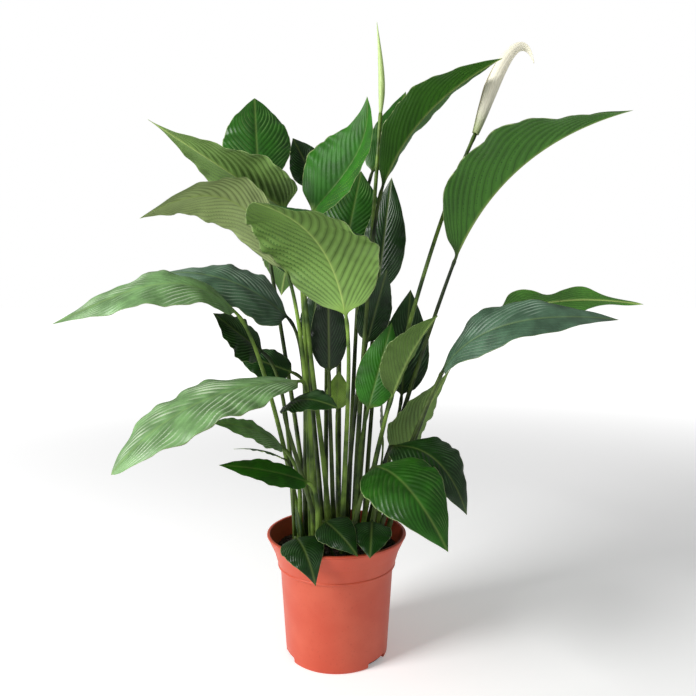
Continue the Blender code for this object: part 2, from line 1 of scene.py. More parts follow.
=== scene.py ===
"""The look of a potted peace lily: pleated leaves, a rolled flower and a bud in a terracotta nursery pot.

Metres, +Z up. The origin is the centre of the pot's underside, and -Y is the plant's front.
It is laid out as an add-on, but it is run as a script.
"""

import math
import random
from typing import NamedTuple

import bmesh
import bpy
import numpy as np
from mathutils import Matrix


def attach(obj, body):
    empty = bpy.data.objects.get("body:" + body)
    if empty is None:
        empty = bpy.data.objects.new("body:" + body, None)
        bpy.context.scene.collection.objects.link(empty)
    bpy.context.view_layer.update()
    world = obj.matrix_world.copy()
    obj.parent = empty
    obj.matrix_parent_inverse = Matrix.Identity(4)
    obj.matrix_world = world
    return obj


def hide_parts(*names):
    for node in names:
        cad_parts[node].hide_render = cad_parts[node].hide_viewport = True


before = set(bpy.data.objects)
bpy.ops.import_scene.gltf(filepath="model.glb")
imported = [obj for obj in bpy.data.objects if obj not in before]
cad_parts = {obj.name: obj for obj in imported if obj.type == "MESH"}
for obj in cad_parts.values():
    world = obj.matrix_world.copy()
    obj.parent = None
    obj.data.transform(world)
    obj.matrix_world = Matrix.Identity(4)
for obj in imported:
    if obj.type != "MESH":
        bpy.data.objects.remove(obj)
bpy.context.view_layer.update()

bl_info = {
    "name": "Potted peace lily",
    "version": (1, 0, 0),
    "blender": (4, 5, 0),
    "location": "3D View > Sidebar > Peace lily",
    "description": "Builds a potted peace lily with its flower, its soil and a studio stage",
    "category": "Add Mesh",
}

# Pot
POT_HEIGHT = 0.149
POT_MOUTH_RADIUS = 0.0855
POT_FOOT_RADIUS = 0.0625
POT_BODY_RADIUS = 0.0695
POT_WALL = 0.0020
POT_FLOOR = 0.0030
LIP_WIDTH = 0.0040
LIP_HEIGHT = 0.0025
LIP_FLARE_DEPTH = 0.0210
COLLAR_RADIUS = 0.0762
COLLAR_DEPTH = 0.0380
COLLAR_TAPER = 0.0045
BEAD_HEIGHT = 0.0030
BEAD_PROUD = 0.0008
FOOT_CHAMFER = 0.0015
DRAIN_COUNT = 3
DRAIN_HEIGHT = 0.0065
DRAIN_WIDTH = 0.032
DRAIN_INSET = 0.0080
DRAIN_START = math.radians(-38)

# Soil
SOIL_BELOW_RIM = 0.020
SOIL_CLEARANCE = 0.0004
SOIL_CROWN = 0.0015
SOCKET_DEPTH = 0.016

# Leaves
STEM_FOOT_RADIUS = 0.0034
STEM_TOP_RADIUS = 0.0019
STEM_LEAN = 0.6
STEM_BEND = 0.35
STALK_CROOK = 0.12
WAVES_PER_EDGE = 3
EDGE_CURL = math.radians(25) + 1e-6

# Flower and bud
STALK_TAPER = 0.75
FLOWER_STALK_RADIUS = 0.0030
FLOWER_STALK_FOOT = (0.46, 0.44)
FLOWER_AT = (0.169, 0.022, 0.635)
FLOWER_AIM = (0.42, 0.0, 0.907)
SPATHE_TIP = (0.236, 0.012, 0.714)
SPATHE_PEAK = (0.214, 0.014, 0.772)
SPATHE_REACH = 0.040
SPATHE_THICKNESS = 0.0009
# Along the spathe: share of its length, radius that it is rolled to, half angle of the roll.
SPATHE_ROLL = (
    (0.00, 0.0042, 158),
    (0.15, 0.0054, 160),
    (0.35, 0.0066, 158),
    (0.50, 0.0064, 148),
    (0.62, 0.0064, 126),
    (0.74, 0.0074, 88),
    (0.86, 0.0084, 50),
    (0.95, 0.0080, 26),
)
SPADIX_RADIUS = 0.0038
SPADIX_START = 0.03
SPADIX_END = 0.50
SPADIX_SWELL = (0.70, 0.82, 0.90, 0.96, 1.0, 0.98, 0.86, 0.5)
BUD_STALK_RADIUS = 0.0030
BUD_STALK_FOOT = (0.30, 0.46)
BUD_AT = (0.054, 0.032, 0.662)
BUD_TIP = (0.049, 0.032, 0.771)
BUD_BOW = 0.005
BUD_RADIUS = 0.0042
BUD_SWELL = (0.50, 0.80, 0.97, 1.0, 0.92, 0.78, 0.60, 0.42, 0.24)
PART_GAP = 0.0004


class Leaf(NamedTuple):
    """One grown leaf. Places are (x, y, z); foot is on the soil, as shares of the soil's radius.

    neck is where the blade starts and tip its point. face is the way that the blade's upper side
    looks. rise and sway bow the midrib, at a third and two thirds of its length, towards the upper
    side and to the right as seen along the blade. fold is how many degrees the left and the right
    half are lifted at the midrib. twist turns the tip.
    """

    name: str
    foot: tuple
    neck: tuple
    tip: tuple
    width: float
    face: tuple
    rise: tuple = (0.0, 0.0)
    sway: tuple = (0.0, 0.0)
    fold: tuple = (8, 8)
    twist: float = 0.0
    belly: float = 0.38
    taper: float = 1.75
    wave: float = 0.05
    crook: float = 0.05
    stem: float = 1.0
    look: str = "dark"


LEAVES = (
    Leaf("leaf_crown_back_left", (-0.56, 0.80), (-0.105, 0.095, 0.587), (-0.117, 0.150, 0.715), 0.094,
         (0.1, -1, 0.2), belly=0.45, look="mid"),
    Leaf("leaf_crown_left", (-0.46, 0.02), (-0.058, -0.010, 0.539), (-0.198, -0.085, 0.624), 0.130,
         (0.4, 0.7, 0.6), fold=(0, 30), belly=0.25, taper=2.3, crook=0.03, look="olive"),
    Leaf("leaf_upper_left", (-0.32, -0.18), (-0.056, -0.030, 0.463), (-0.201, -0.110, 0.517), 0.090,
         (0.1, 0.6, 0.8), rise=(0.110, 0.080), belly=0.42, look="tan"),
    Leaf("leaf_great_centre", (0.10, -0.36), (0.012, -0.060, 0.414), (-0.074, -0.170, 0.525), 0.155,
         (0.45, 0.75, 0.45), rise=(0.055, 0.040), fold=(0, 15), belly=0.45, taper=1.5, look="olive"),
    Leaf("leaf_crown_bright", (-0.12, 0.02), (-0.028, -0.020, 0.534), (0.035, -0.050, 0.658), 0.105,
         (-0.3, -1, 0.1), sway=(0.012, 0.036), fold=(5, 65), belly=0.35, look="bright"),
    Leaf("leaf_crown_tall", (0.30, 0.20), (0.055, 0.010, 0.567), (0.189, -0.030, 0.706), 0.100,
         (-0.45, 0.75, 0.45), rise=(0.050, 0.045), fold=(60, 0), belly=0.4, look="mid"),
    Leaf("leaf_upper_right", (0.62, 0.34), (0.144, 0.010, 0.482), (0.330, -0.050, 0.643), 0.165,
         (-0.25, 0.95, 0.2), rise=(0.020, 0.020), sway=(0.040, 0.040), fold=(75, 0), twist=-45, belly=0.42,
         taper=2.5, crook=0.012, look="mid"),
    Leaf("leaf_far_right_back", (0.88, -0.02), (0.149, 0.004, 0.375), (0.362, -0.020, 0.428), 0.055,
         (0, 0.7, 0.7), rise=(0.060, 0.045), wave=0.35, look="mid"),
    Leaf("leaf_far_right", (0.70, -0.20), (0.125, -0.022, 0.348), (0.305, -0.090, 0.412), 0.074,
         (-0.2, -0.75, 0.6), rise=(0.085, 0.055), fold=(0, 35), wave=0.1, crook=0.02, look="grey"),
    Leaf("leaf_far_left", (-0.58, -0.16), (-0.113, -0.035, 0.416), (-0.297, -0.105, 0.408), 0.080,
         (-0.2, -0.6, 0.75), rise=(0.085, 0.030), fold=(12, 0), wave=0.08, look="pale"),
    Leaf("leaf_mid_left_grey", (-0.58, 0.24), (-0.061, 0.026, 0.411), (-0.210, -0.004, 0.465), 0.100,
         (0.3, -0.5, 0.8), rise=(0.030, 0.030), belly=0.3, taper=2.0, look="grey"),
    Leaf("leaf_low_left_great", (-0.40, -0.36), (-0.039, -0.050, 0.341), (-0.219, -0.160, 0.262), 0.115,
         (-0.2, -0.3, 0.9), rise=(0.035, 0.045), belly=0.5, taper=1.5, crook=0.015, look="pale"),
    Leaf("leaf_centre_hooked", (-0.24, -0.50), (-0.058, -0.060, 0.312), (0.004, -0.100, 0.318), 0.058,
         (0, -0.35, 0.94), crook=0.012, rise=(0.018, 0.010)),
    Leaf("leaf_low_left_striped", (-0.64, -0.32), (-0.061, -0.040, 0.261), (-0.136, -0.090, 0.301), 0.050,
         (0, -0.4, 0.9), rise=(0.012, 0.012), look="pale"),
    Leaf("leaf_low_left_narrow", (-0.76, -0.14), (-0.061, -0.030, 0.246), (-0.121, -0.030, 0.258), 0.030,
         (0, 0.22, 0.97), rise=(0.006, 0.006), stem=0.6, crook=0.015, look="grey"),
    Leaf("leaf_low_left_bright", (-0.30, -0.74), (-0.031, -0.060, 0.226), (-0.123, -0.110, 0.259), 0.042,
         (0, -0.5, 0.85), rise=(0.008, 0.006), crook=0.02, look="bright"),
    Leaf("leaf_rim_left", (-0.64, -0.56), (-0.046, -0.055, 0.160), (-0.021, -0.100, 0.122), 0.050,
         (0, -0.5, 0.85), rise=(0.022, 0.022), belly=0.3, crook=0.015, stem=0.6),
    Leaf("leaf_rim_middle", (-0.04, -0.70), (-0.013, -0.048, 0.177), (0.025, -0.092, 0.152), 0.046,
         (0, -0.6, 0.8), rise=(0.008, 0.008), belly=0.3, crook=0.015, stem=0.6),
    Leaf("leaf_rim_right", (0.50, -0.66), (0.042, -0.045, 0.176), (0.038, -0.092, 0.150), 0.047,
         (0, -0.6, 0.8), rise=(0.008, 0.008), belly=0.35, crook=0.015, stem=0.6),
    Leaf("leaf_low_right_great", (0.20, -0.60), (0.044, -0.066, 0.246), (0.113, -0.163, 0.185), 0.085,
         (0.1, -0.75, 0.65), rise=(0.040, 0.035), crook=0.02, look="mid"),
    Leaf("leaf_low_right_back", (0.56, -0.34), (0.067, -0.021, 0.259), (0.146, -0.081, 0.195), 0.080,
         (0.3, -0.6, 0.75), rise=(0.045, 0.040), crook=0.015),
    Leaf("leaf_inner_right_grey", (0.72, 0.16), (0.078, 0.016, 0.236), (0.142, 0.016, 0.350), 0.100,
         (-0.45, 0.85, 0.25), fold=(48, 0), belly=0.3, taper=2.4, look="olive"),
    Leaf("leaf_inner_right_upright", (0.56, 0.56), (0.082, 0.034, 0.312), (0.096, 0.070, 0.447), 0.065,
         (0.1, -1, 0.2)),
    Leaf("leaf_inner_right_light", (0.44, 0.02), (0.066, -0.030, 0.320), (0.116, -0.050, 0.416), 0.074,
         (-0.35, 0.9, 0), rise=(0.015, 0.015), fold=(70, 0), belly=0.4, look="olive"),
    Leaf("leaf_inner_right_green", (0.30, -0.20), (0.038, -0.012, 0.302), (0.067, 0.002, 0.406), 0.052,
         (-0.2, -1, 0.1), look="bright"),
    # Its black look is painted shade: the leaf sits in shadow among the stems.
    Leaf("leaf_inner_centre_black", (-0.06, 0.22), (-0.009, 0.000, 0.346), (-0.010, 0.000, 0.457), 0.045,
         (0, -1, 0), look="black"),
    Leaf("leaf_inner_centre_left", (-0.26, 0.30), (-0.032, 0.030, 0.377), (-0.024, 0.030, 0.454), 0.040,
         (-0.3, -0.9, 0.2)),
    Leaf("leaf_inner_centre_right", (0.14, 0.38), (0.037, 0.020, 0.380), (0.062, 0.020, 0.471), 0.045,
         (0.3, -0.9, 0)),
    Leaf("leaf_back_upright", (0.38, 0.74), (0.052, 0.054, 0.444), (0.070, 0.062, 0.590), 0.058,
         (-0.3, -1, 0.1)),
    Leaf("leaf_back_centre", (0.02, 0.66), (0.010, 0.072, 0.499), (0.032, 0.110, 0.607), 0.085,
         (0, -1, 0.3), look="mid"),
    Leaf("leaf_rear_left", (-0.39, 0.84), (-0.050, 0.085, 0.462), (-0.092, 0.255, 0.440), 0.085,
         (0, 0.1, 1), rise=(0.050, 0.050), fold=(15, 15)),
    Leaf("leaf_rear_right", (0.52, 0.84), (0.058, 0.082, 0.392), (0.090, 0.235, 0.352), 0.070,
         (0, 0.1, 1), rise=(0.035, 0.040), fold=(15, 15)),
    Leaf("leaf_rear_high", (0.00, 0.96), (0.006, 0.108, 0.524), (0.030, 0.270, 0.566), 0.080,
         (0, -0.2, 1), rise=(0.035, 0.035), fold=(15, 15)),
    Leaf("leaf_back_left_small", (-0.22, 0.84), (-0.028, 0.130, 0.591), (-0.065, 0.165, 0.664), 0.052,
         (-0.2, -1, 0.2)),
    Leaf("leaf_mid_left_folded", (-0.74, 0.06), (-0.092, 0.018, 0.369), (-0.146, -0.015, 0.418), 0.080,
         (0.3, -0.5, 0.8), belly=0.35),
    Leaf("leaf_mid_left_dark", (-0.50, 0.52), (-0.057, 0.040, 0.341), (-0.130, 0.040, 0.368), 0.050,
         (0, -0.7, 0.7)),
    Leaf("leaf_inner_right_young", (0.60, 0.74), (0.059, 0.045, 0.256), (0.057, 0.045, 0.308), 0.018,
         (1, -0.3, 0), stem=0.6, look="young"),
    Leaf("leaf_inner_small", (0.08, 0.06), (0.000, 0.022, 0.296), (0.003, 0.022, 0.345), 0.030,
         (0, -1, 0.1), stem=0.6, look="young"),
    Leaf("shoot_left", (-0.66, -0.42), (-0.043, -0.030, 0.150), (-0.048, -0.032, 0.193), 0.007,
         (-0.2, -1, 0), crook=0.01, stem=0.6),
    Leaf("leaf_crown_back_right", (0.20, 0.92), (0.047, 0.120, 0.607), (0.095, 0.150, 0.724), 0.050,
         (-0.2, -1, 0.2), look="mid"),
)


def unit(vector):
    vector = np.asarray(vector, dtype=float)
    return vector / np.linalg.norm(vector)


def bezier(points, shares):
    """Points and unit directions of a cubic Bezier curve at the given shares of its parameter."""
    t = np.asarray(shares, dtype=float)[:, None]
    u = 1 - t
    a, b, c, d = (np.asarray(point, dtype=float) for point in points)
    places = u**3 * a + 3 * u * u * t * b + 3 * u * t * t * c + t**3 * d
    along = u * u * (b - a) + 2 * u * t * (c - b) + t * t * (d - c)
    return places, along / np.linalg.norm(along, axis=1)[:, None]


def soil_top():
    return POT_HEIGHT - SOIL_BELOW_RIM


def wall_radius(height):
    """Outer radius of the pot's wall at a height, without the bead."""
    collar_top = POT_HEIGHT - LIP_FLARE_DEPTH
    collar_foot = POT_HEIGHT - COLLAR_DEPTH
    heights = (0.0, collar_foot, collar_foot + 1e-6, collar_top, POT_HEIGHT)
    radii = (
        POT_FOOT_RADIUS,
        POT_BODY_RADIUS,
        COLLAR_RADIUS - COLLAR_TAPER,
        COLLAR_RADIUS,
        POT_MOUTH_RADIUS - LIP_WIDTH + POT_WALL,
    )
    return float(np.interp(height, heights, radii))


def soil_radius(height):
    return wall_radius(height) - POT_WALL - SOIL_CLEARANCE


def foot_place(shares):
    """Where a stem clears the soil's crown, from shares of the soil's radius."""
    reach = soil_radius(soil_top()) - 2 * STEM_FOOT_RADIUS
    return np.array((shares[0] * reach, shares[1] * reach, soil_top() + SOIL_CROWN))


def midrib_frame(leaf):
    """The midrib's four control points, and the blade's right side across its length."""
    neck, tip = np.array(leaf.neck), np.array(leaf.tip)
    along = unit(tip - neck)
    upper = unit(np.array(leaf.face) - np.dot(leaf.face, along) * along)
    right = np.cross(along, upper)
    third = (tip - neck) / 3
    controls = (
        neck,
        neck + third + upper * leaf.rise[0] + right * leaf.sway[0],
        tip - third + upper * leaf.rise[1] + right * leaf.sway[1],
        tip,
    )
    return controls, right


def blade_axes(leaf, shares):
    """Midrib places with the blade's right and upper directions at each."""
    controls, right = midrib_frame(leaf)
    places, along = bezier(controls, shares)
    side = right - (along @ right)[:, None] * along
    side /= np.linalg.norm(side, axis=1)[:, None]
    upper = np.cross(side, along)
    turn = math.radians(leaf.twist) * np.asarray(shares)[:, None]
    return (
        places,
        side * np.cos(turn) + upper * np.sin(turn),
        upper * np.cos(turn) - side * np.sin(turn),
    )


def half_width(leaf, share):
    """The blade's half width: round near the neck, drawn out to a point at the tip."""
    first, last = leaf.taper * leaf.belly, leaf.taper * (1 - leaf.belly)
    shape = share**first * (1 - share) ** last
    return leaf.width / 2 * shape / (leaf.belly**first * (1 - leaf.belly) ** last)


def section_offset(leaf, share, across):
    """Sideways and upward offsets, as shares of the half width, at across from -1 (left) to 1 (right)."""
    side = 1 if across > 0 else 0
    fold = math.radians(leaf.fold[side])
    reach = abs(across)
    out = (math.sin(fold) - math.sin(fold - EDGE_CURL * reach)) / EDGE_CURL
    lift = (math.cos(fold - EDGE_CURL * reach) - math.cos(fold)) / EDGE_CURL
    phase = leaf.width * 200 + 2.2 * side
    lift += leaf.wave * reach**2 * math.sin(2 * math.pi * WAVES_PER_EDGE * share + phase)
    return math.copysign(out, across), lift


def stem_curve(leaf):
    """Control points of the stem, which leaves the soil upright and joins the midrib's line."""
    foot = foot_place(leaf.foot)
    controls, _ = midrib_frame(leaf)
    start = unit(controls[1] - controls[0])
    lean = (controls[0] - foot) * (STEM_LEAN, STEM_LEAN, 1)
    return foot, foot + STEM_BEND * lean, controls[0] - start * leaf.crook, controls[0]


def carried_axes(directions, side, upper):
    """Axes carried back down a stem from its top without turning about it."""
    axes = [(side, upper)]
    for direction in directions[::-1][1:]:
        side = unit(side - np.dot(side, direction) * direction)
        axes.append((side, np.cross(side, direction)))
    return axes[::-1]


def tube_axes(controls, shares):
    """Places along a Bezier curve, with two axes square to it at each."""
    places, directions = bezier(controls, shares)
    side = unit(np.cross((0, 1, 0), directions[-1]))
    axes = carried_axes(directions, side, np.cross(side, directions[-1]))
    return list(places), axes


def spathe_frame(shares):
    """Places on the spathe's midrib with its outward and sideways directions."""
    aim = unit(FLOWER_AIM)
    across = np.array((0, 1, 0))
    outward = unit(np.cross(across, aim))
    start = np.array(FLOWER_AT) + outward * SPATHE_ROLL[0][1]
    controls = (start, start + SPATHE_REACH * aim, np.array(SPATHE_PEAK), np.array(SPATHE_TIP))
    places, directions = bezier(controls, shares)
    return places, np.cross(across, directions), across


def soil_side():
    """Radius and height of each step down the soil's side, below its top edge."""
    collar_foot = POT_HEIGHT - COLLAR_DEPTH
    floor = POT_FLOOR + SOIL_CLEARANCE
    inset = POT_WALL + SOIL_CLEARANCE
    return (
        (COLLAR_RADIUS - COLLAR_TAPER - inset, collar_foot + BEAD_HEIGHT * 0.25),
        (POT_BODY_RADIUS - inset, collar_foot - BEAD_HEIGHT * 0.25),
        (soil_radius(floor), floor),
    )


# Looks of a leaf: top, sheen between its veins, which is a painted reflection, underside, share of that
# painted sheen, roughness.
LEAF_LOOKS = {
    "dark": ("#173E0E", "#7AA372", "#5E8A38", 0.45, 0.34),
    # black: painted shade, a near-black green for a leaf that sits in shadow.
    "black": ("#10280C", "#3F6640", "#3E6A26", 0.30, 0.36),
    "mid": ("#255E0E", "#7FA860", "#457F22", 0.40, 0.38),
    "bright": ("#2A7400", "#5FA02A", "#7FA640", 0.15, 0.60),
    "grey": ("#587A60", "#AFC4B2", "#7A8F5C", 0.60, 0.38),
    "pale": ("#7FAA6C", "#DCEACF", "#8FAE5C", 0.70, 0.40),
    "olive": ("#2F6B1E", "#8FB27A", "#6F9145", 0.35, 0.48),
    "tan": ("#3A7426", "#9CBF86", "#A9BC7A", 0.35, 0.48),
    "young": ("#7FA638", "#C4D68C", "#A9C25C", 0.35, 0.42),
}
# Looks whose stems keep the lit stem colour; the stems of every other look get painted shade.
LIT_STEMS = ("olive", "tan", "pale", "bright", "young")
VEINS_PER_SIDE = 15
VEIN_SWEEP = 0.44
ALONG_STEPS = 120
ACROSS_STEPS = 64
PETIOLE_STEPS = 34
ROW_CROWDING = 1.05
COLUMN_CROWDING = 1.1
VEIN_BOW = 1.2
SHEET = 0.00042
SHEET_EDGE = 0.00022
TIP_HALF_WIDTH = 0.0003
PLEAT_DEPTH = 0.032
PLEAT_ROUNDING = 0.7
RIPPLES = 7.3
RIPPLE_DEPTH = 0.030
RIPPLE_TURN = 900
RIB_SPREAD = 0.0013
RIB_DEPTH = 0.0013
RIB_FADE = 0.85
RIB_GROOVE = 0.35
NECK_SHARE = 0.07
GREEN_NECK_SHARE = 0.09
KNEE_AT = 0.955
KNEE_SPREAD = 0.03
KNEE_SWELL = 0.28

# Flower, stalks and bud
STALK_STEPS = 60
STALK_SIDES = 24
STALK_SWELL = 0.22
STALK_SWELL_AT = 0.985
STALK_SWELL_SPREAD = 0.012
SPATHE_STEPS = 90
SPATHE_COLUMNS = 57
SPATHE_END = 0.985
SPATHE_SHEET = 0.6
SPATHE_RIBS = 9
SPATHE_RIB_DEPTH = 0.012
SPATHE_OVERLAP = 0.06
SPATHE_BELLY = 0.4
SPATHE_BELLY_END = 0.9
SPADIX_STEPS = 60
SPADIX_SIDES = 40
SPADIX_KNOBS = 8
SPADIX_KNOB_TURN = 70
SPADIX_KNOB_DEPTH = 0.05
BUD_STEPS = 80
BUD_SIDES = 48
BUD_WIND = 1.3
BUD_EDGE_DEPTH = 0.08

# Soil
SOIL_SIDES = 160
SOIL_RINGS = 46
SOIL_LUMP = 0.0011
SOIL_GRAIN = 0.0005
GRAIN_FINENESS = 3.1
LUMP_WAVES = 5
LUMP_PITCH = 170
LUMP_SHARE = 3.2
CRUMB_MARGIN = 0.003
CRUMB_REST = 0.3
CRUMBS = 1500
SEED = 11

# Stage
FLOOR_SIZE = 60
# Painted light from the floor: from 0.6 m to 3 m out, its glow rises from 0.22 to 0.85.
FLOOR_GLOW = (0.6, 3.0, 0.22, 0.85)
MIDDLE = (0, 0, 0.4)
KEY_PLACE = (-1.5, -0.9, 1.2)
KEY_SIZE = 0.8
FILL_PLACE = (1.6, -1.2, 0.8)
FILL_SIZE = 1.6
CAMERA_PLACE = (0.014, -0.80, 0.434)
CAMERA_DROP = 4.2
SENSOR = 36


def linear(text):
    """Linear colour from an sRGB hex text."""
    parts = [int(text[i : i + 2], 16) / 255 for i in (1, 3, 5)]
    return tuple(p / 12.92 if p <= 0.04045 else ((p + 0.055) / 1.055) ** 2.4 for p in parts)


def colour_property(name, text):
    return bpy.props.FloatVectorProperty(
        name=name, description=f"Colour of the {name.lower()}", subtype="COLOR",
        size=3, min=0, max=1, default=linear(text),
    )


def number_property(name, text, default, low, high, **more):
    return bpy.props.FloatProperty(
        name=name, description=text, default=default, min=low, max=high, **more
    )


def smooth(low, high, value):
    """Smooth step from 0 at low to 1 at high."""
    t = np.clip((np.asarray(value, dtype=float) - low) / (high - low), 0, 1)
    return t * t * (3 - 2 * t)


# Settings


class PotSettings(bpy.types.PropertyGroup):
    """Sizes and colours of the pot and its soil."""

    sides: bpy.props.IntProperty(
        name="Sides", description="Steps round the turned pot", default=192, min=24, max=400
    )
    plastic: colour_property("Pot plastic", "#BE4C34")
    scuffed: colour_property("Scuffed plastic", "#CB6046")
    soil: colour_property("Soil", "#2A1A12")
    soil_red: colour_property("Reddish crumbs", "#6B3A26")
    crumbs: bpy.props.IntProperty(
        name="Crumbs", description="Loose crumbs on the soil", default=CRUMBS, min=0, max=2200
    )
    crumb_size: number_property(
        "Crumb size", "Middle size of a crumb", 0.0012, 0.0003, 0.004, subtype="DISTANCE", unit="LENGTH"
    )


class LeafSettings(bpy.types.PropertyGroup):
    """Sizes and colours of the leaves."""

    veins: bpy.props.IntProperty(
        name="Veins", description="Side veins on each half of a leaf",
        default=VEINS_PER_SIDE, min=4, max=30,
    )
    pleat: number_property(
        "Pleat depth", "Share of the half width that a pleat stands proud", PLEAT_DEPTH, 0, 0.1
    )
    sheet: number_property(
        "Sheet", "Thickness of the blade", SHEET, 0.0001, 0.002, subtype="DISTANCE", unit="LENGTH"
    )
    stem: colour_property("Lit stem", "#85A644")
    stem_dark: colour_property("Shaded stem", "#223D12")
    margin: colour_property("Leaf margin", "#B4C687")
    rib: colour_property("Midrib", "#A9C06A")


for look, (top, sheen, under, _, _) in LEAF_LOOKS.items():
    for part, text in (("top", top), ("sheen", sheen), ("under", under)):
        LeafSettings.__annotations__[f"{look}_{part}"] = colour_property(f"{look} leaf {part}", text)


class FlowerSettings(bpy.types.PropertyGroup):
    """Colours of the flower and the bud."""

    cream: colour_property("Spathe", "#FCF8E6")
    shade: colour_property("Spathe veins", "#E2DBB8")
    green: colour_property("Spathe foot", "#A9BE6E")
    bud: colour_property("Bud", "#C3D98F")
    bud_seam: colour_property("Bud seam", "#93B05A")


class StageSettings(bpy.types.PropertyGroup):
    """Light, floor and camera."""

    floor: colour_property("Floor", "#FDFDFD")
    key: number_property("Key light", "Power in watts", 46, 0, 500)
    fill: number_property("Fill light", "Power in watts", 1, 0, 500)
    world: number_property("World", "Light from the white surroundings", 0.30, 0, 10)
    lens: number_property("Lens", "Focal length in millimetres", 34.24, 10, 200)


# Shading


def node(tree, kind, sockets=(), **settings):
    """Adds a node with its settings; a socket takes a value or another node's output."""
    made = tree.nodes.new(kind)
    for key, value in settings.items():
        setattr(made, key, value)
    for key, value in dict(sockets).items():
        if isinstance(value, bpy.types.NodeSocket):
            tree.links.new(value, made.inputs[key])
        else:
            made.inputs[key].default_value = value
    return made


def scaled(colour, share):
    """A linear colour made darker by a share under 1, or paler by one over 1."""
    return tuple(min(1.0, share * part) for part in colour)


def calc(tree, operation, *values):
    return node(tree, "ShaderNodeMath", dict(enumerate(values)), operation=operation).outputs[0]


def ramp(tree, value, low, high, start=0.0, end=1.0):
    """A smooth step of a value between low and high, from start to end."""
    sockets = {"Value": value, "From Min": low, "From Max": high, "To Min": start, "To Max": end}
    return node(tree, "ShaderNodeMapRange", sockets, interpolation_type="SMOOTHSTEP").outputs[0]


def blend(tree, share, first, second):
    """Colour between two, each a socket or a linear colour."""
    first, second = [c if isinstance(c, bpy.types.NodeSocket) else (*c, 1) for c in (first, second)]
    made = node(tree, "ShaderNodeMix", {0: share, 6: first, 7: second}, data_type="RGBA")
    return made.outputs[2]


def noise(tree, place, size, detail=3.0):
    """Noise with features of a real size in metres."""
    sockets = {"Vector": place, "Scale": 1 / size, "Detail": detail}
    return node(tree, "ShaderNodeTexNoise", sockets).outputs["Fac"]


def mottle(tree, place, size, detail=3.0, low=0.3, high=0.7, most=1.0):
    """Soft-edged patches of a real size, from 0 to most."""
    return ramp(tree, noise(tree, place, size, detail), low, high, 0.0, most)


def product(tree, first, *others):
    """All the values multiplied together."""
    for other in others:
        first = calc(tree, "MULTIPLY", first, other)
    return first


def attribute(tree, name):
    return node(tree, "ShaderNodeAttribute", attribute_name=name).outputs["Fac"]


def object_place(tree):
    return node(tree, "ShaderNodeTexCoord").outputs["Object"]


def start_material(name):
    material = bpy.data.materials.new(name)
    material.use_nodes = True
    tree = material.node_tree
    tree.nodes.clear()
    return material, tree


def close_material(tree, shader):
    node(tree, "ShaderNodeOutputMaterial", {"Surface": shader.outputs[0]})


def close_tissue(tree, shader, share, sockets):
    """Ends the material with a share of the light let through from the other side."""
    through = node(tree, "ShaderNodeBsdfTranslucent", sockets)
    mix = {0: share, 1: shader.outputs[0], 2: through.outputs[0]}
    close_material(tree, node(tree, "ShaderNodeMixShader", mix))


def bump(tree, height, strength, depth):
    sockets = {"Height": height, "Strength": strength, "Distance": depth}
    return node(tree, "ShaderNodeBump", sockets).outputs["Normal"]


def leaf_material(look, settings):
    """Living leaf: waxy top with a painted sheen, a painted reflection, between sunken veins, duller
    underside, light through it.
    """
    material, tree = start_material(f"leaf_tissue_{look}")
    _, _, _, sheen_share, roughness = LEAF_LOOKS[look]
    place = object_place(tree)
    vein, across = attribute(tree, "vein"), attribute(tree, "across")
    under, stem, rib = attribute(tree, "under"), attribute(tree, "stem"), attribute(tree, "rib")
    reach = calc(tree, "ABSOLUTE", across)
    wobble = product(tree, noise(tree, place, 0.03), 0.5)
    phase = calc(tree, "ADD", vein, wobble)
    crest = calc(tree, "ABSOLUTE", calc(tree, "SINE", product(tree, phase, math.pi)))
    # Painted reflection: a pale sheen colour on one flank of each pleat, in patches, away from the midrib
    # and the margin.
    flank = calc(tree, "SINE", product(tree, calc(tree, "ADD", phase, 0.1), 2 * math.pi))
    flank = ramp(tree, flank, 0.15, 0.95)
    inner = product(tree, ramp(tree, reach, 0.05, 0.3), ramp(tree, reach, 0.75, 1.0, 1.0, 0.35))
    patch = mottle(tree, place, 0.045, 2.0, 0.36, 0.66)
    sheen = product(tree, flank, inner, patch, sheen_share)
    top_colour = getattr(settings, f"{look}_top")
    deep = scaled(top_colour, 0.55)
    top = blend(tree, mottle(tree, place, 0.02), deep, top_colour)
    top = blend(tree, sheen, top, getattr(settings, f"{look}_sheen"))
    line = ramp(tree, crest, 0.0, 0.22, 0.35, 0.0)
    top = blend(tree, line, top, scaled(top_colour, 0.5))
    under_colour = getattr(settings, f"{look}_under")
    dull = scaled(under_colour, 0.72)
    low = blend(tree, mottle(tree, place, 0.03), dull, under_colour)
    pale = scaled(under_colour, 1.35)
    ridge = product(tree, ramp(tree, crest, 0.55, 1.0), 0.35)
    low = blend(tree, ridge, low, pale)
    low = blend(tree, ramp(tree, crest, 0.0, 0.38, 0.75, 0.0), low, scaled(under_colour, 0.42))
    low = blend(tree, product(tree, rib, 0.8), low, settings.rib)
    top = blend(tree, product(tree, rib, 0.2), top, settings.rib)
    colour = blend(tree, under, top, low)
    colour = blend(tree, ramp(tree, reach, 0.965, 1.0, 0.0, 0.7), colour, settings.margin)
    # Painted shade on the stems: outside LIT_STEMS both stem colours are darkened to 0.4, and each stem is
    # mottled between its lit and its shaded colour.
    shade = 1.0 if look in LIT_STEMS else 0.4
    ends = [scaled(tone, shade) for tone in (settings.stem_dark, settings.stem)]
    stalk = blend(tree, mottle(tree, place, 0.03), *ends)
    colour = blend(tree, stem, colour, stalk)
    rough = calc(tree, "MULTIPLY_ADD", under, 0.16, roughness)
    normal = bump(tree, noise(tree, place, 0.0016, 2.0), 0.12, 0.0004)
    skin = node(tree, "ShaderNodeBsdfPrincipled", {
        "Base Color": colour, "Roughness": rough, "Normal": normal,
        "Specular IOR Level": 0.36, "Coat Weight": 0.05, "Coat Roughness": 0.25,
    })
    close_tissue(tree, skin, 0.18, {"Color": colour, "Normal": normal})
    return material


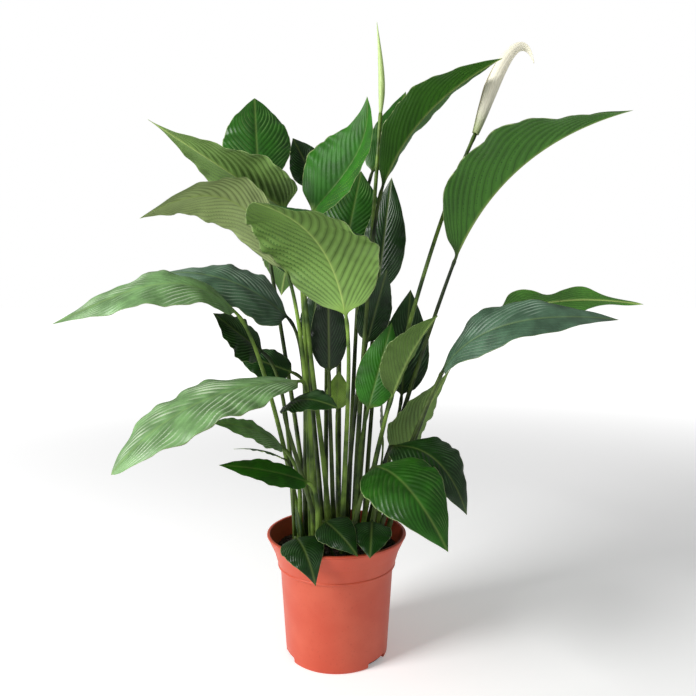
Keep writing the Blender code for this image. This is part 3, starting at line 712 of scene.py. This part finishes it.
def plastic_material(settings):
    """Moulded terracotta nursery plastic: satin, faintly mottled, scuffed paler here and there."""
    material, tree = start_material("pot_plastic_terracotta")
    place = object_place(tree)
    scuff = mottle(tree, place, 0.05, 4.0, 0.35, 0.75, 0.6)
    speck = mottle(tree, place, 0.0022, 2.0, 0.62, 0.74, 0.35)
    colour = blend(tree, scuff, settings.plastic, settings.scuffed)
    colour = blend(tree, speck, colour, scaled(settings.plastic, 0.7))
    rough = calc(tree, "MULTIPLY_ADD", noise(tree, place, 0.02), 0.15, 0.36)
    shader = node(tree, "ShaderNodeBsdfPrincipled", {
        "Base Color": colour, "Roughness": rough,
        "Normal": bump(tree, noise(tree, place, 0.0009, 2.0), 0.10, 0.0002),
        "Specular IOR Level": 0.35,
    })
    close_material(tree, shader)
    return material


def soil_material(settings):
    """Damp peat: near-black brown with reddish bark crumbs."""
    material, tree = start_material("potting_soil")
    place = object_place(tree)
    damp = mottle(tree, place, 0.004, 4.0, 0.35, 0.7)
    colour = blend(tree, damp, settings.soil, scaled(settings.soil, 0.4))
    bark = mottle(tree, place, 0.003, 2.0, 0.6, 0.7, 0.8)
    colour = blend(tree, bark, colour, settings.soil_red)
    shader = node(tree, "ShaderNodeBsdfPrincipled", {
        "Base Color": colour, "Roughness": 0.92,
        "Normal": bump(tree, noise(tree, place, 0.0012, 4.0), 0.6, 0.001),
    })
    close_material(tree, shader)
    return material


def petal_material(name, main, line, foot, lines):
    """Soft flower tissue: lengthwise veins, greener at its foot, a little light through it."""
    material, tree = start_material(name)
    place = object_place(tree)
    across, along = attribute(tree, "across"), attribute(tree, "along")
    wobble = product(tree, noise(tree, place, 0.012), 0.8)
    phase = calc(tree, "MULTIPLY_ADD", across, lines * math.pi, wobble)
    vein = calc(tree, "ABSOLUTE", calc(tree, "SINE", phase))
    colour = blend(tree, ramp(tree, vein, 0.0, 0.45, 0.75, 0.0), main, line)
    colour = blend(tree, ramp(tree, along, 0.0, 0.22, 0.8, 0.0), colour, foot)
    shader = node(tree, "ShaderNodeBsdfPrincipled", {
        "Base Color": colour, "Roughness": 0.45,
        "Normal": bump(tree, vein, 0.25, 0.0003),
    })
    close_tissue(tree, shader, 0.2, {"Color": colour})
    return material


# Meshes


def place_object(name, verts, faces, material, values=()):
    """Adds a finished mesh at the origin, turned outward, smooth, with its float attributes."""
    verts = np.asarray(verts, dtype=float)
    data = bpy.data.meshes.new(name)
    data.from_pydata(verts.tolist(), [], faces)
    for key, array in dict(values).items():
        layer = data.attributes.new(key, "FLOAT", "POINT")
        layer.data.foreach_set("value", np.asarray(array, dtype=np.float32).ravel())
    data.materials.append(material)
    data.calc_loop_triangles()
    corners = np.empty(len(data.loop_triangles) * 3, np.int32)
    data.loop_triangles.foreach_get("vertices", corners)
    sides = verts[corners].reshape(-1, 3, 3)
    if np.einsum("ij,ij->", sides[:, 0], np.cross(sides[:, 1], sides[:, 2])) < 0:
        data.flip_normals()
    data.shade_smooth()
    obj = bpy.data.objects.new(name, data)
    bpy.context.scene.collection.objects.link(obj)
    return obj


def ring_faces(rows, count, start=0):
    """Quads between rows of count points each."""
    row = start + np.arange(rows - 1)[:, None] * count
    step = np.arange(count)[None]
    after = (step + 1) % count
    return np.stack([row + step, row + after, row + count + after, row + count + step], -1).reshape(-1, 4)


def ring_object(name, rings, material, point=None, values=()):
    """One closed body through rings of equal length, capped flat or ended by a point."""
    rings = np.asarray(rings, dtype=float)
    rows, count = rings.shape[:2]
    faces = ring_faces(rows, count).tolist()
    faces.append(list(range(count))[::-1])
    verts = rings.reshape(-1, 3)
    last = (rows - 1) * count
    arrays = {key: np.asarray(array, dtype=float).ravel() for key, array in dict(values).items()}
    if point is None:
        faces.append([last + k for k in range(count)])
    else:
        verts = np.vstack([verts, point])
        faces += [(last + k, last + (k + 1) % count, rows * count) for k in range(count)]
        arrays = {key: np.append(array, array[-1]) for key, array in arrays.items()}
    return place_object(name, verts, faces, material, arrays)


def adopt(obj, node_name):
    """The piece stands for its CAD node and rides on the root."""
    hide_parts(node_name)
    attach(obj, "root")


def round_turns(count):
    """Turns round a ring from its left edge over its upper side, as a blade's ring runs."""
    return math.pi - np.arange(count) * 2 * math.pi / count


def split_axes(axes):
    """The right and the upper directions of a stem's rings as two arrays."""
    return np.array(axes).transpose(1, 0, 2)


def circle(centres, radii, rights, ups, turns):
    """Rings of points about centres, one row a ring. radii has one value for each ring or point."""
    turns = np.atleast_2d(turns)[..., None]
    spokes = np.cos(turns) * rights[:, None] + np.sin(turns) * ups[:, None]
    return np.asarray(centres)[:, None] + radii.reshape(len(radii), -1, 1) * spokes


def petiole_rings(leaf, side, upper, turns):
    """The stem: a swollen sheathing foot, a slow taper and a slight knee under the blade."""
    shares = np.linspace(0, 1, PETIOLE_STEPS + 1)
    places, directions = bezier(stem_curve(leaf), shares)
    rights, ups = split_axes(carried_axes(directions, side, upper))
    radii = leaf.stem * (STEM_FOOT_RADIUS * (1 - shares) + STEM_TOP_RADIUS * shares)
    radii *= 1 + KNEE_SWELL * np.exp(-((shares - KNEE_AT) / KNEE_SPREAD) ** 2)
    rings = circle(places, radii, rights, ups, turns)
    sunk = rings[:1] - (0, 0, SOCKET_DEPTH - PART_GAP)
    return np.vstack([sunk, rings[:-1]])


def blade_offsets(leaf, shares, across):
    """Grids of sideways and upward offsets, in half widths."""
    cells = [[section_offset(leaf, share, reach) for reach in across] for share in shares]
    grid = np.array(cells)
    turn = 2 * math.pi * RIPPLES * shares[:, None] + leaf.width * RIPPLE_TURN
    ripple = RIPPLE_DEPTH * np.abs(across)[None] ** 3 * np.sin(turn)
    return grid[..., 0], grid[..., 1] + ripple * smooth(0.08, 0.3, shares)[:, None]


def blade_grid(leaf, settings):
    """Upper and lower surfaces of the blade with the attributes of their points."""
    steps = np.linspace(-1, 1, ACROSS_STEPS + 1)
    across = np.sign(steps) * np.abs(steps) ** COLUMN_CROWDING
    shares = np.linspace(0, 1, ALONG_STEPS + 1)[:-1] ** ROW_CROWDING
    places, rights, uppers = blade_axes(leaf, shares)
    neck = STEM_TOP_RADIUS * leaf.stem
    half = np.maximum(half_width(leaf, shares), neck * (1 - shares) ** 2 + TIP_HALF_WIDTH)
    out, lift = blade_offsets(leaf, shares, across)
    grid = places[:, None] + half[:, None, None] * (
        out[..., None] * rights[:, None] + lift[..., None] * uppers[:, None]
    )
    normal = np.cross(np.gradient(grid, axis=1), np.gradient(grid, axis=0))
    normal /= np.maximum(np.linalg.norm(normal, axis=2), 1e-12)[..., None]
    reach = np.abs(across)[None]
    vein = settings.veins * (shares[:, None] - VEIN_SWEEP * reach**VEIN_BOW)
    body = smooth(0.03, 0.16, reach) * (1 - 0.55 * smooth(0.75, 1.0, reach))
    body = body * (smooth(0.02, 0.1, shares) * smooth(0.004, 0.016, half))[:, None]
    pleat = np.abs(np.sin(math.pi * vein)) ** PLEAT_ROUNDING - 0.5
    grid = grid + (settings.pleat * half[:, None] * body * pleat)[..., None] * normal
    rib = np.exp(-((across[None] * half[:, None] / RIB_SPREAD) ** 2))
    sheet = (settings.sheet * (1 - reach) + SHEET_EDGE * reach) / 2 * np.ones_like(rib)
    fade = (1 - RIB_FADE * shares)[:, None]
    top = grid + (sheet - RIB_GROOVE * RIB_DEPTH * rib * fade)[..., None] * normal
    low = grid - (sheet + RIB_DEPTH * rib * fade)[..., None] * normal
    return shares, across, top, low, vein, rib, (places, rights, uppers, neck)


def leaf_object(leaf, settings, material):
    """One leaf as one closed body: stem, knee, pleated blade and drawn-out tip."""
    shares, across, top, low, vein, rib, (places, rights, uppers, neck) = blade_grid(leaf, settings)
    columns = len(across)
    count = 2 * (columns - 1)
    blade = np.concatenate([top, low[:, -2:0:-1]], axis=1)
    turns = round_turns(count)
    join = smooth(0.0, NECK_SHARE, shares)[:, None, None]
    collar = circle(places, neck * (1 - 0.5 * shares), rights, uppers, turns)
    blade = collar * (1 - join) + blade * join
    stem = petiole_rings(leaf, rights[0], uppers[0], turns)
    rows = len(stem)

    def round_row(grid):
        return np.concatenate([grid, grid[:, -2:0:-1]], axis=1)

    ones = np.ones((rows, count))
    lower = np.concatenate([np.zeros(columns), np.ones(columns - 2)])
    lower[[0, columns - 1]] = 0.5
    body = np.broadcast_to(across, vein.shape)
    stemness = (1 - smooth(0.0, GREEN_NECK_SHARE, shares))[:, None] * np.ones(count)
    values = {
        "vein": np.vstack([ones * 0, round_row(vein)]),
        "across": np.vstack([ones * 0.3, round_row(body)]),
        "under": np.vstack([ones * lower, np.broadcast_to(lower, (len(shares), count))]),
        "rib": np.vstack([ones * 0, round_row(rib)]),
        "stem": np.vstack([ones, stemness]),
    }
    name = leaf.name + "_grown"
    return ring_object(name, np.vstack([stem, blade]), material, leaf.tip, values)


def stalk_object(name, foot, top, aim, radius, material):
    """A flower's round stalk with a small swelling under the flower."""
    place = foot_place(foot)
    rise = (np.array(top) - place) * (STEM_LEAN, STEM_LEAN, 1)
    controls = (place, place + STEM_BEND * rise, np.array(top) - STALK_CROOK * unit(aim), top)
    shares = np.linspace(0, 1, STALK_STEPS + 1)
    places, axes = tube_axes(controls, shares)
    radii = radius * (1 - (1 - STALK_TAPER) * shares)
    swelling = np.exp(-(((shares - STALK_SWELL_AT) / STALK_SWELL_SPREAD) ** 2))
    radii = radii * (1 + STALK_SWELL * swelling)
    rings = circle(places, radii, *split_axes(axes), round_turns(STALK_SIDES))
    rings = np.vstack([rings[:1] - (0, 0, SOCKET_DEPTH - PART_GAP), rings])
    size = rings.shape[:2]
    levels = {"vein": 0, "across": 0.3, "under": 0.5, "rib": 0, "stem": 1}
    values = {key: np.full(size, level) for key, level in levels.items()}
    return ring_object(name + "_grown", rings, material, values=values)


def spathe_object(material):
    """The flower's hood: a thin ribbed sheet rolled round the spadix, its tip curling over."""
    rows = np.array(SPATHE_ROLL)
    shares = np.linspace(0, SPATHE_END, SPATHE_STEPS)
    rolls = np.interp(shares, rows[:, 0], rows[:, 1])[:, None]
    halves = np.radians(np.interp(shares, np.append(rows[:, 0], 1.0), np.append(rows[:, 2], 4)))
    places, outwards, across = spathe_frame(shares)
    sides = np.linspace(-1, 1, SPATHE_COLUMNS)
    thick = SPATHE_SHEET * SPATHE_THICKNESS * (1 - 0.5 * shares)[:, None]
    ribs = SPATHE_RIB_DEPTH * np.cos(sides * SPATHE_RIBS * math.pi)[None]
    ribs = ribs * smooth(0.02, 0.2, shares)[:, None]
    spiral = 1 + SPATHE_OVERLAP * sides[None] * smooth(0.9, 0.3, shares)[:, None]
    belly = 1 + SPATHE_BELLY * np.sin(math.pi * np.clip(shares / SPATHE_BELLY_END, 0, 1))[:, None]
    reach = rolls * (1 + ribs) * spiral * belly
    frame_of_ring = (outwards, np.broadcast_to(across, outwards.shape), halves[:, None] * sides[None])
    centres = places - outwards * rolls
    outer = circle(centres, reach, *frame_of_ring)
    inner = circle(centres, reach - thick, *frame_of_ring)
    rings = np.concatenate([outer, inner[:, ::-1]], axis=1)
    around = np.concatenate([sides, sides[::-1]])
    values = {
        "across": np.broadcast_to(around, rings.shape[:2]),
        "along": np.broadcast_to(shares[:, None], rings.shape[:2]),
    }
    return ring_object("spathe_hood", rings, material, SPATHE_TIP, values)


def spadix_object(material):
    """The flower's club, knobbly all over."""
    shares = np.linspace(SPADIX_START, SPADIX_END, SPADIX_STEPS)
    places, outwards, across = spathe_frame(shares)
    rows = np.array(SPATHE_ROLL)
    centres = places - outwards * np.interp(shares, rows[:, 0], rows[:, 1])[:, None]
    steps = np.linspace(0, 1, len(SPADIX_SWELL))
    swell = np.interp(np.linspace(0, 1, SPADIX_STEPS), steps, SPADIX_SWELL)[:, None]
    turns = round_turns(SPADIX_SIDES)
    round_about, up = SPADIX_KNOBS * turns[None], SPADIX_KNOB_TURN * shares[:, None]
    knobs = np.sin(round_about + up) * np.sin(round_about - up)
    radii = SPADIX_RADIUS * swell * (1 - SPADIX_KNOB_DEPTH + SPADIX_KNOB_DEPTH * knobs)
    rings = circle(centres, radii, outwards, np.broadcast_to(across, outwards.shape), turns)
    values = {"across": np.zeros(rings.shape[:2]), "along": np.ones(rings.shape[:2])}
    return ring_object("spadix_club", rings, material, values=values)


def bud_object(material):
    """The tightly rolled bud: a slender bowed spindle with its edge wound round it."""
    start, tip = np.array(BUD_AT) + (0, 0, PART_GAP), np.array(BUD_TIP)
    bow = np.array((BUD_BOW, 0, 0))
    controls = (start, start + (tip - start) / 3 + bow, tip - (tip - start) / 3 + bow / 2, tip)
    shares = np.linspace(0, 1, BUD_STEPS + 1)[:-1]
    places, axes = tube_axes(controls, shares)
    swell = np.interp(shares, np.linspace(0, 1, len(BUD_SWELL) + 1), (*BUD_SWELL, 0.06))
    turns = round_turns(BUD_SIDES)
    wound = (turns[None] / (2 * math.pi) + 0.2 - BUD_WIND * shares[:, None]) % 1.0
    radii = BUD_RADIUS * swell[:, None] * (1 - BUD_EDGE_DEPTH + BUD_EDGE_DEPTH * wound)
    rings = circle(places, radii, *split_axes(axes), turns)
    along = np.broadcast_to(0.2 + 0.8 * shares[:, None], rings.shape[:2])
    values = {"across": wound * 2 - 1, "along": along}
    return ring_object("bud_rolled", rings, material, BUD_TIP, values)


# Pot and soil


def only(obj):
    """Leaves one object selected and active."""
    bpy.ops.object.select_all(action="DESELECT")
    obj.select_set(True)
    bpy.context.view_layer.objects.active = obj


def apply_modifier(obj, kind, **settings):
    only(obj)
    modifier = obj.modifiers.new(kind.lower(), kind)
    for key, value in settings.items():
        setattr(modifier, key, value)
    bpy.ops.object.modifier_apply(modifier=modifier.name)


def half_round(radius, height, out, up, reach, count):
    """Points of an outward bulge in the pot's section, from reach degrees above level to below it."""
    turns = np.radians(np.linspace(reach, -reach, count))
    return [(radius + out * math.cos(turn), height + up * math.sin(turn)) for turn in turns]


def fine_pot_profile():
    """The pot's section with a rolled lip and a rounded bead."""
    mouth, top = POT_MOUTH_RADIUS, POT_HEIGHT
    lip = LIP_HEIGHT / 2
    rolled = half_round(mouth - lip, top - lip, lip, lip, 90, 9)
    flare_foot, collar_foot = top - LIP_FLARE_DEPTH, top - COLLAR_DEPTH
    collar_low = COLLAR_RADIUS - COLLAR_TAPER
    bead = BEAD_HEIGHT / 2
    beads = half_round(collar_low, collar_foot, BEAD_PROUD, bead, 80, 7)
    outside = rolled + [
        (mouth - 0.0009, top - LIP_HEIGHT - 0.0004),
        (COLLAR_RADIUS + 0.0006, flare_foot + 0.0012),
        (COLLAR_RADIUS, flare_foot - 0.0006),
        *beads,
        (POT_BODY_RADIUS + 0.0004, collar_foot - BEAD_HEIGHT * 0.5),
        (POT_BODY_RADIUS - 0.0002, collar_foot - BEAD_HEIGHT * 1.0),
        (POT_FOOT_RADIUS + 0.0002, 0.004),
        (POT_FOOT_RADIUS, FOOT_CHAMFER),
        (POT_FOOT_RADIUS - FOOT_CHAMFER * 0.3, FOOT_CHAMFER * 0.3),
        (POT_FOOT_RADIUS - FOOT_CHAMFER, 0),
        (0, 0),
    ]
    inner = mouth - LIP_WIDTH
    inside = [
        (0, POT_FLOOR),
        (wall_radius(POT_FLOOR) - POT_WALL, POT_FLOOR),
        (POT_BODY_RADIUS - POT_WALL, collar_foot - BEAD_HEIGHT * 0.25),
        (collar_low - POT_WALL, collar_foot + BEAD_HEIGHT * 0.25),
        (COLLAR_RADIUS - POT_WALL, flare_foot),
        (inner, top - LIP_HEIGHT),
        (inner + 0.0002, top - 0.0006),
        (inner + 0.0009, top),
    ]
    return outside, inside


def pot_object(settings, material):
    """The pot, spun from its section, with its drain notches cut through the bottom edge."""
    outside, inside = fine_pot_profile()
    profile = outside + inside + outside[:1]
    data = bpy.data.meshes.new("pot_moulded")
    points = [(radius, 0, height) for radius, height in profile[:-1]]
    lines = [(i, (i + 1) % len(points)) for i in range(len(points)) if i != len(outside) - 1]
    data.from_pydata(points, lines, [])
    pot = bpy.data.objects.new("pot_moulded", data)
    bpy.context.scene.collection.objects.link(pot)
    apply_modifier(
        pot, "SCREW", axis="Z", angle=2 * math.pi, steps=settings.sides, render_steps=settings.sides,
        screw_offset=0, use_merge_vertices=True, merge_threshold=1e-5, use_normal_calculate=True,
    )
    cutters = []
    for index in range(DRAIN_COUNT):
        turn = DRAIN_START + index * 2 * math.pi / DRAIN_COUNT
        bpy.ops.mesh.primitive_cube_add(
            size=1, location=(POT_FOOT_RADIUS * math.cos(turn), POT_FOOT_RADIUS * math.sin(turn), 0),
            rotation=(0, 0, turn), scale=(2 * DRAIN_INSET, DRAIN_WIDTH, 2 * DRAIN_HEIGHT),
        )
        cutter = bpy.context.object
        apply_modifier(cutter, "BEVEL", width=0.0022, segments=4, limit_method="NONE")
        cutters.append(cutter)
    bm = bmesh.new()
    bm.from_mesh(pot.data)
    bmesh.ops.recalc_face_normals(bm, faces=bm.faces)
    bm.to_mesh(pot.data)
    bm.free()
    for cutter in cutters:
        apply_modifier(pot, "BOOLEAN", operation="DIFFERENCE", object=cutter, solver="EXACT")
        bpy.data.objects.remove(cutter)
    pot.data.materials.clear()
    pot.data.materials.append(material)
    only(pot)
    bpy.ops.object.shade_smooth_by_angle(angle=math.radians(38))
    return pot


def lump(x, y, seed):
    """A smooth height made of a few waves, from -1 to 1."""
    total = 0.0
    for k in range(1, LUMP_WAVES + 1):
        turn = k * seed
        run = x * math.cos(turn) + y * math.sin(turn)
        total = total + np.sin(LUMP_PITCH * k**0.8 * run + turn) / k**0.6
    return total / LUMP_SHARE


def soil_height(x, y, reach):
    """Height of the soil's uneven top, crowned in the middle; reach is a share of its radius."""
    return soil_top() + SOIL_CROWN * (1 - reach**2) + SOIL_LUMP * lump(x, y, 1.7)


def soil_object(material):
    """The root ball: an uneven top, its side inside the wall and its foot."""
    turns = np.arange(SOIL_SIDES) * 2 * math.pi / SOIL_SIDES
    reach = np.linspace(0.02, 1, SOIL_RINGS)[:, None]
    radii = soil_radius(soil_top()) * reach
    x, y = radii * np.cos(turns), radii * np.sin(turns)
    z = soil_height(x, y, reach) + SOIL_GRAIN * lump(GRAIN_FINENESS * x, GRAIN_FINENESS * y, 4.3)
    rings = [np.stack([x, y, z], -1)]
    for radius, height in soil_side():
        level = np.full(SOIL_SIDES, height)
        rings.append(np.stack([radius * np.cos(turns), radius * np.sin(turns), level], -1)[None])
    return ring_object("soil_top", np.concatenate(rings), material)


def spun_about(points, columns, turn):
    """The points with two of their columns turned about the third."""
    points = points.copy()
    sine, cosine = math.sin(turn), math.cos(turn)
    points[:, columns] = points[:, columns] @ np.array([[cosine, sine], [-sine, cosine]])
    return points


def crumb_object(settings, material):
    """Loose crumbs of peat and bark on the soil, joined into one mesh."""
    chance = random.Random(SEED)
    draw = chance.random
    ball = bmesh.new()
    bmesh.ops.create_icosphere(ball, subdivisions=1, radius=1.0)
    shape = np.array([vert.co[:] for vert in ball.verts])
    sides = np.array([[vert.index for vert in face.verts] for face in ball.faces])
    ball.free()
    edge = soil_radius(soil_top()) - CRUMB_MARGIN
    verts, faces = [], []
    for index in range(settings.crumbs):
        reach, turn = math.sqrt(draw()), draw() * 2 * math.pi
        size = settings.crumb_size * (0.45 + 1.1 * draw() ** 2)
        stretch = np.array([1 + 0.9 * draw(), 0.6 + 0.6 * draw(), 0.5 + 0.4 * draw()])
        spin = draw() * math.pi
        tilt = (draw() - 0.5) * 1.6
        dents = np.array([1 + 0.35 * (draw() - 0.5) for _ in shape])
        body = shape * dents[:, None] * stretch * size
        body = spun_about(spun_about(body, [0, 2], tilt), [0, 1], spin)
        x, y = edge * reach * math.cos(turn), edge * reach * math.sin(turn)
        verts.append(body + (x, y, soil_height(x, y, reach) + CRUMB_REST * size))
        faces += (sides + index * len(shape)).tolist()
    return place_object("soil_crumbs", np.concatenate(verts), faces, material)


# Operators


class PEACE_LILY_OT_pot(bpy.types.Operator):
    """Builds the moulded pot"""

    bl_idname = "peace_lily.pot"
    bl_label = "Pot"

    def execute(self, context):
        settings = context.scene.peace_lily_pot
        pot = pot_object(settings, plastic_material(settings))
        adopt(pot, "pot")
        return {"FINISHED"}


class PEACE_LILY_OT_soil(bpy.types.Operator):
    """Builds the soil and its loose crumbs"""

    bl_idname = "peace_lily.soil"
    bl_label = "Soil"

    def execute(self, context):
        settings = context.scene.peace_lily_pot
        material = soil_material(settings)
        adopt(soil_object(material), "soil")
        crumbs = crumb_object(settings, material)
        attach(crumbs, "root")
        return {"FINISHED"}


class PEACE_LILY_OT_leaves(bpy.types.Operator):
    """Builds every leaf and the young shoot"""

    bl_idname = "peace_lily.leaves"
    bl_label = "Leaves"

    def execute(self, context):
        settings = context.scene.peace_lily_leaf
        materials = {look: leaf_material(look, settings) for look in LEAF_LOOKS}
        for leaf in LEAVES:
            adopt(leaf_object(leaf, settings, materials[leaf.look]), leaf.name)
        return {"FINISHED"}


class PEACE_LILY_OT_stalks(bpy.types.Operator):
    """Builds the stalks of the flower and the bud"""

    bl_idname = "peace_lily.stalks"
    bl_label = "Stalks"

    def execute(self, context):
        material = leaf_material("young", context.scene.peace_lily_leaf)
        flower = stalk_object(
            "flower_stalk", FLOWER_STALK_FOOT, FLOWER_AT, FLOWER_AIM, FLOWER_STALK_RADIUS, material
        )
        adopt(flower, "flower_stalk")
        bud = stalk_object("bud_stalk", BUD_STALK_FOOT, BUD_AT, (0.06, 0, 1), BUD_STALK_RADIUS, material)
        adopt(bud, "bud_stalk")
        return {"FINISHED"}


class PEACE_LILY_OT_flower(bpy.types.Operator):
    """Builds the rolled hood, the club inside it and the bud"""

    bl_idname = "peace_lily.flower"
    bl_label = "Flower and bud"

    def execute(self, context):
        settings = context.scene.peace_lily_flower
        cream = petal_material("flower_tissue_cream", settings.cream, settings.shade, settings.green, 9)
        green = petal_material("flower_tissue_bud", settings.bud, settings.bud_seam, settings.bud_seam, 5)
        adopt(spathe_object(cream), "spathe")
        adopt(spadix_object(cream), "spadix")
        adopt(bud_object(green), "bud")
        return {"FINISHED"}


def area_light(name, power, size, place, target):
    """A square white light aimed at a target."""
    light = bpy.data.lights.new(name, "AREA")
    light.energy = power
    light.size = size
    lamp = bpy.data.objects.new(name, light)
    lamp.location = place
    aim = bpy.data.objects.new(f"{name}_aim", None)
    aim.location = target
    for obj in (lamp, aim):
        bpy.context.scene.collection.objects.link(obj)
    track = lamp.constraints.new("TRACK_TO")
    track.target, track.track_axis, track.up_axis = aim, "TRACK_NEGATIVE_Z", "UP_Y"


class PEACE_LILY_OT_stage(bpy.types.Operator):
    """Builds the pale floor, which glows with painted light, the soft lights and the camera"""

    bl_idname = "peace_lily.stage"
    bl_label = "Stage"

    def execute(self, context):
        settings = context.scene.peace_lily_stage
        scene = context.scene
        material, tree = start_material("stage_paper")
        away = node(tree, "ShaderNodeVectorMath", {0: object_place(tree)}, operation="LENGTH")
        shader = node(tree, "ShaderNodeBsdfPrincipled", {
            "Base Color": (*settings.floor, 1),
            "Roughness": 0.9,
            # Painted light: the floor glows, faintly near the pot and more strongly far off.
            "Emission Color": (1, 1, 1, 1),
            "Emission Strength": ramp(tree, away.outputs["Value"], *FLOOR_GLOW),
        })
        close_material(tree, shader)
        bpy.ops.mesh.primitive_plane_add(size=FLOOR_SIZE, location=(0, 0, 0))
        floor = bpy.context.object
        floor.name = "stage_floor"
        floor.data.materials.append(material)
        area_light("key", settings.key, KEY_SIZE, KEY_PLACE, MIDDLE)
        area_light("fill", settings.fill, FILL_SIZE, FILL_PLACE, MIDDLE)
        world = bpy.data.worlds.new("studio")
        world.use_nodes = True
        tree = world.node_tree
        seen = node(tree, "ShaderNodeLightPath").outputs["Is Camera Ray"]
        strength = {"Value": seen, "To Min": settings.world, "To Max": 1.0}
        backdrop = node(tree, "ShaderNodeMapRange", strength)
        background = tree.nodes["Background"]
        background.inputs["Color"].default_value = (1, 1, 1, 1)
        tree.links.new(backdrop.outputs[0], background.inputs["Strength"])
        scene.world = world
        scene.view_settings.view_transform = "Standard"
        data = bpy.data.cameras.new("front")
        data.lens = settings.lens
        data.sensor_width = SENSOR
        camera = bpy.data.objects.new("front", data)
        camera.location = CAMERA_PLACE
        camera.rotation_euler = (math.radians(90 - CAMERA_DROP), 0, 0)
        scene.collection.objects.link(camera)
        scene.camera = camera
        return {"FINISHED"}


STEPS = (
    PEACE_LILY_OT_pot,
    PEACE_LILY_OT_soil,
    PEACE_LILY_OT_leaves,
    PEACE_LILY_OT_stalks,
    PEACE_LILY_OT_flower,
    PEACE_LILY_OT_stage,
)
GROUPS = {
    "peace_lily_pot": PotSettings,
    "peace_lily_leaf": LeafSettings,
    "peace_lily_flower": FlowerSettings,
    "peace_lily_stage": StageSettings,
}


class PEACE_LILY_PT_panel(bpy.types.Panel):
    """Lists the steps that build the plant"""

    bl_idname = "PEACE_LILY_PT_panel"
    bl_label = "Peace lily"
    bl_space_type = "VIEW_3D"
    bl_region_type = "UI"
    bl_category = "Peace lily"

    def draw(self, context):
        for step in STEPS:
            self.layout.operator(step.bl_idname)
        for group in GROUPS:
            box = self.layout.box()
            settings = getattr(context.scene, group)
            for key in settings.__annotations__:
                box.prop(settings, key)


def register():
    for cls in (*GROUPS.values(), *STEPS, PEACE_LILY_PT_panel):
        bpy.utils.register_class(cls)
    for name, group in GROUPS.items():
        setattr(bpy.types.Scene, name, bpy.props.PointerProperty(type=group))


def unregister():
    for name in GROUPS:
        delattr(bpy.types.Scene, name)
    for cls in (PEACE_LILY_PT_panel, *STEPS[::-1], *list(GROUPS.values())[::-1]):
        bpy.utils.unregister_class(cls)


def main():
    register()
    for step in STEPS:
        group, name = step.bl_idname.split(".")
        getattr(getattr(bpy.ops, group), name)()
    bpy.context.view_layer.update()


if __name__ == "__main__":
    main()
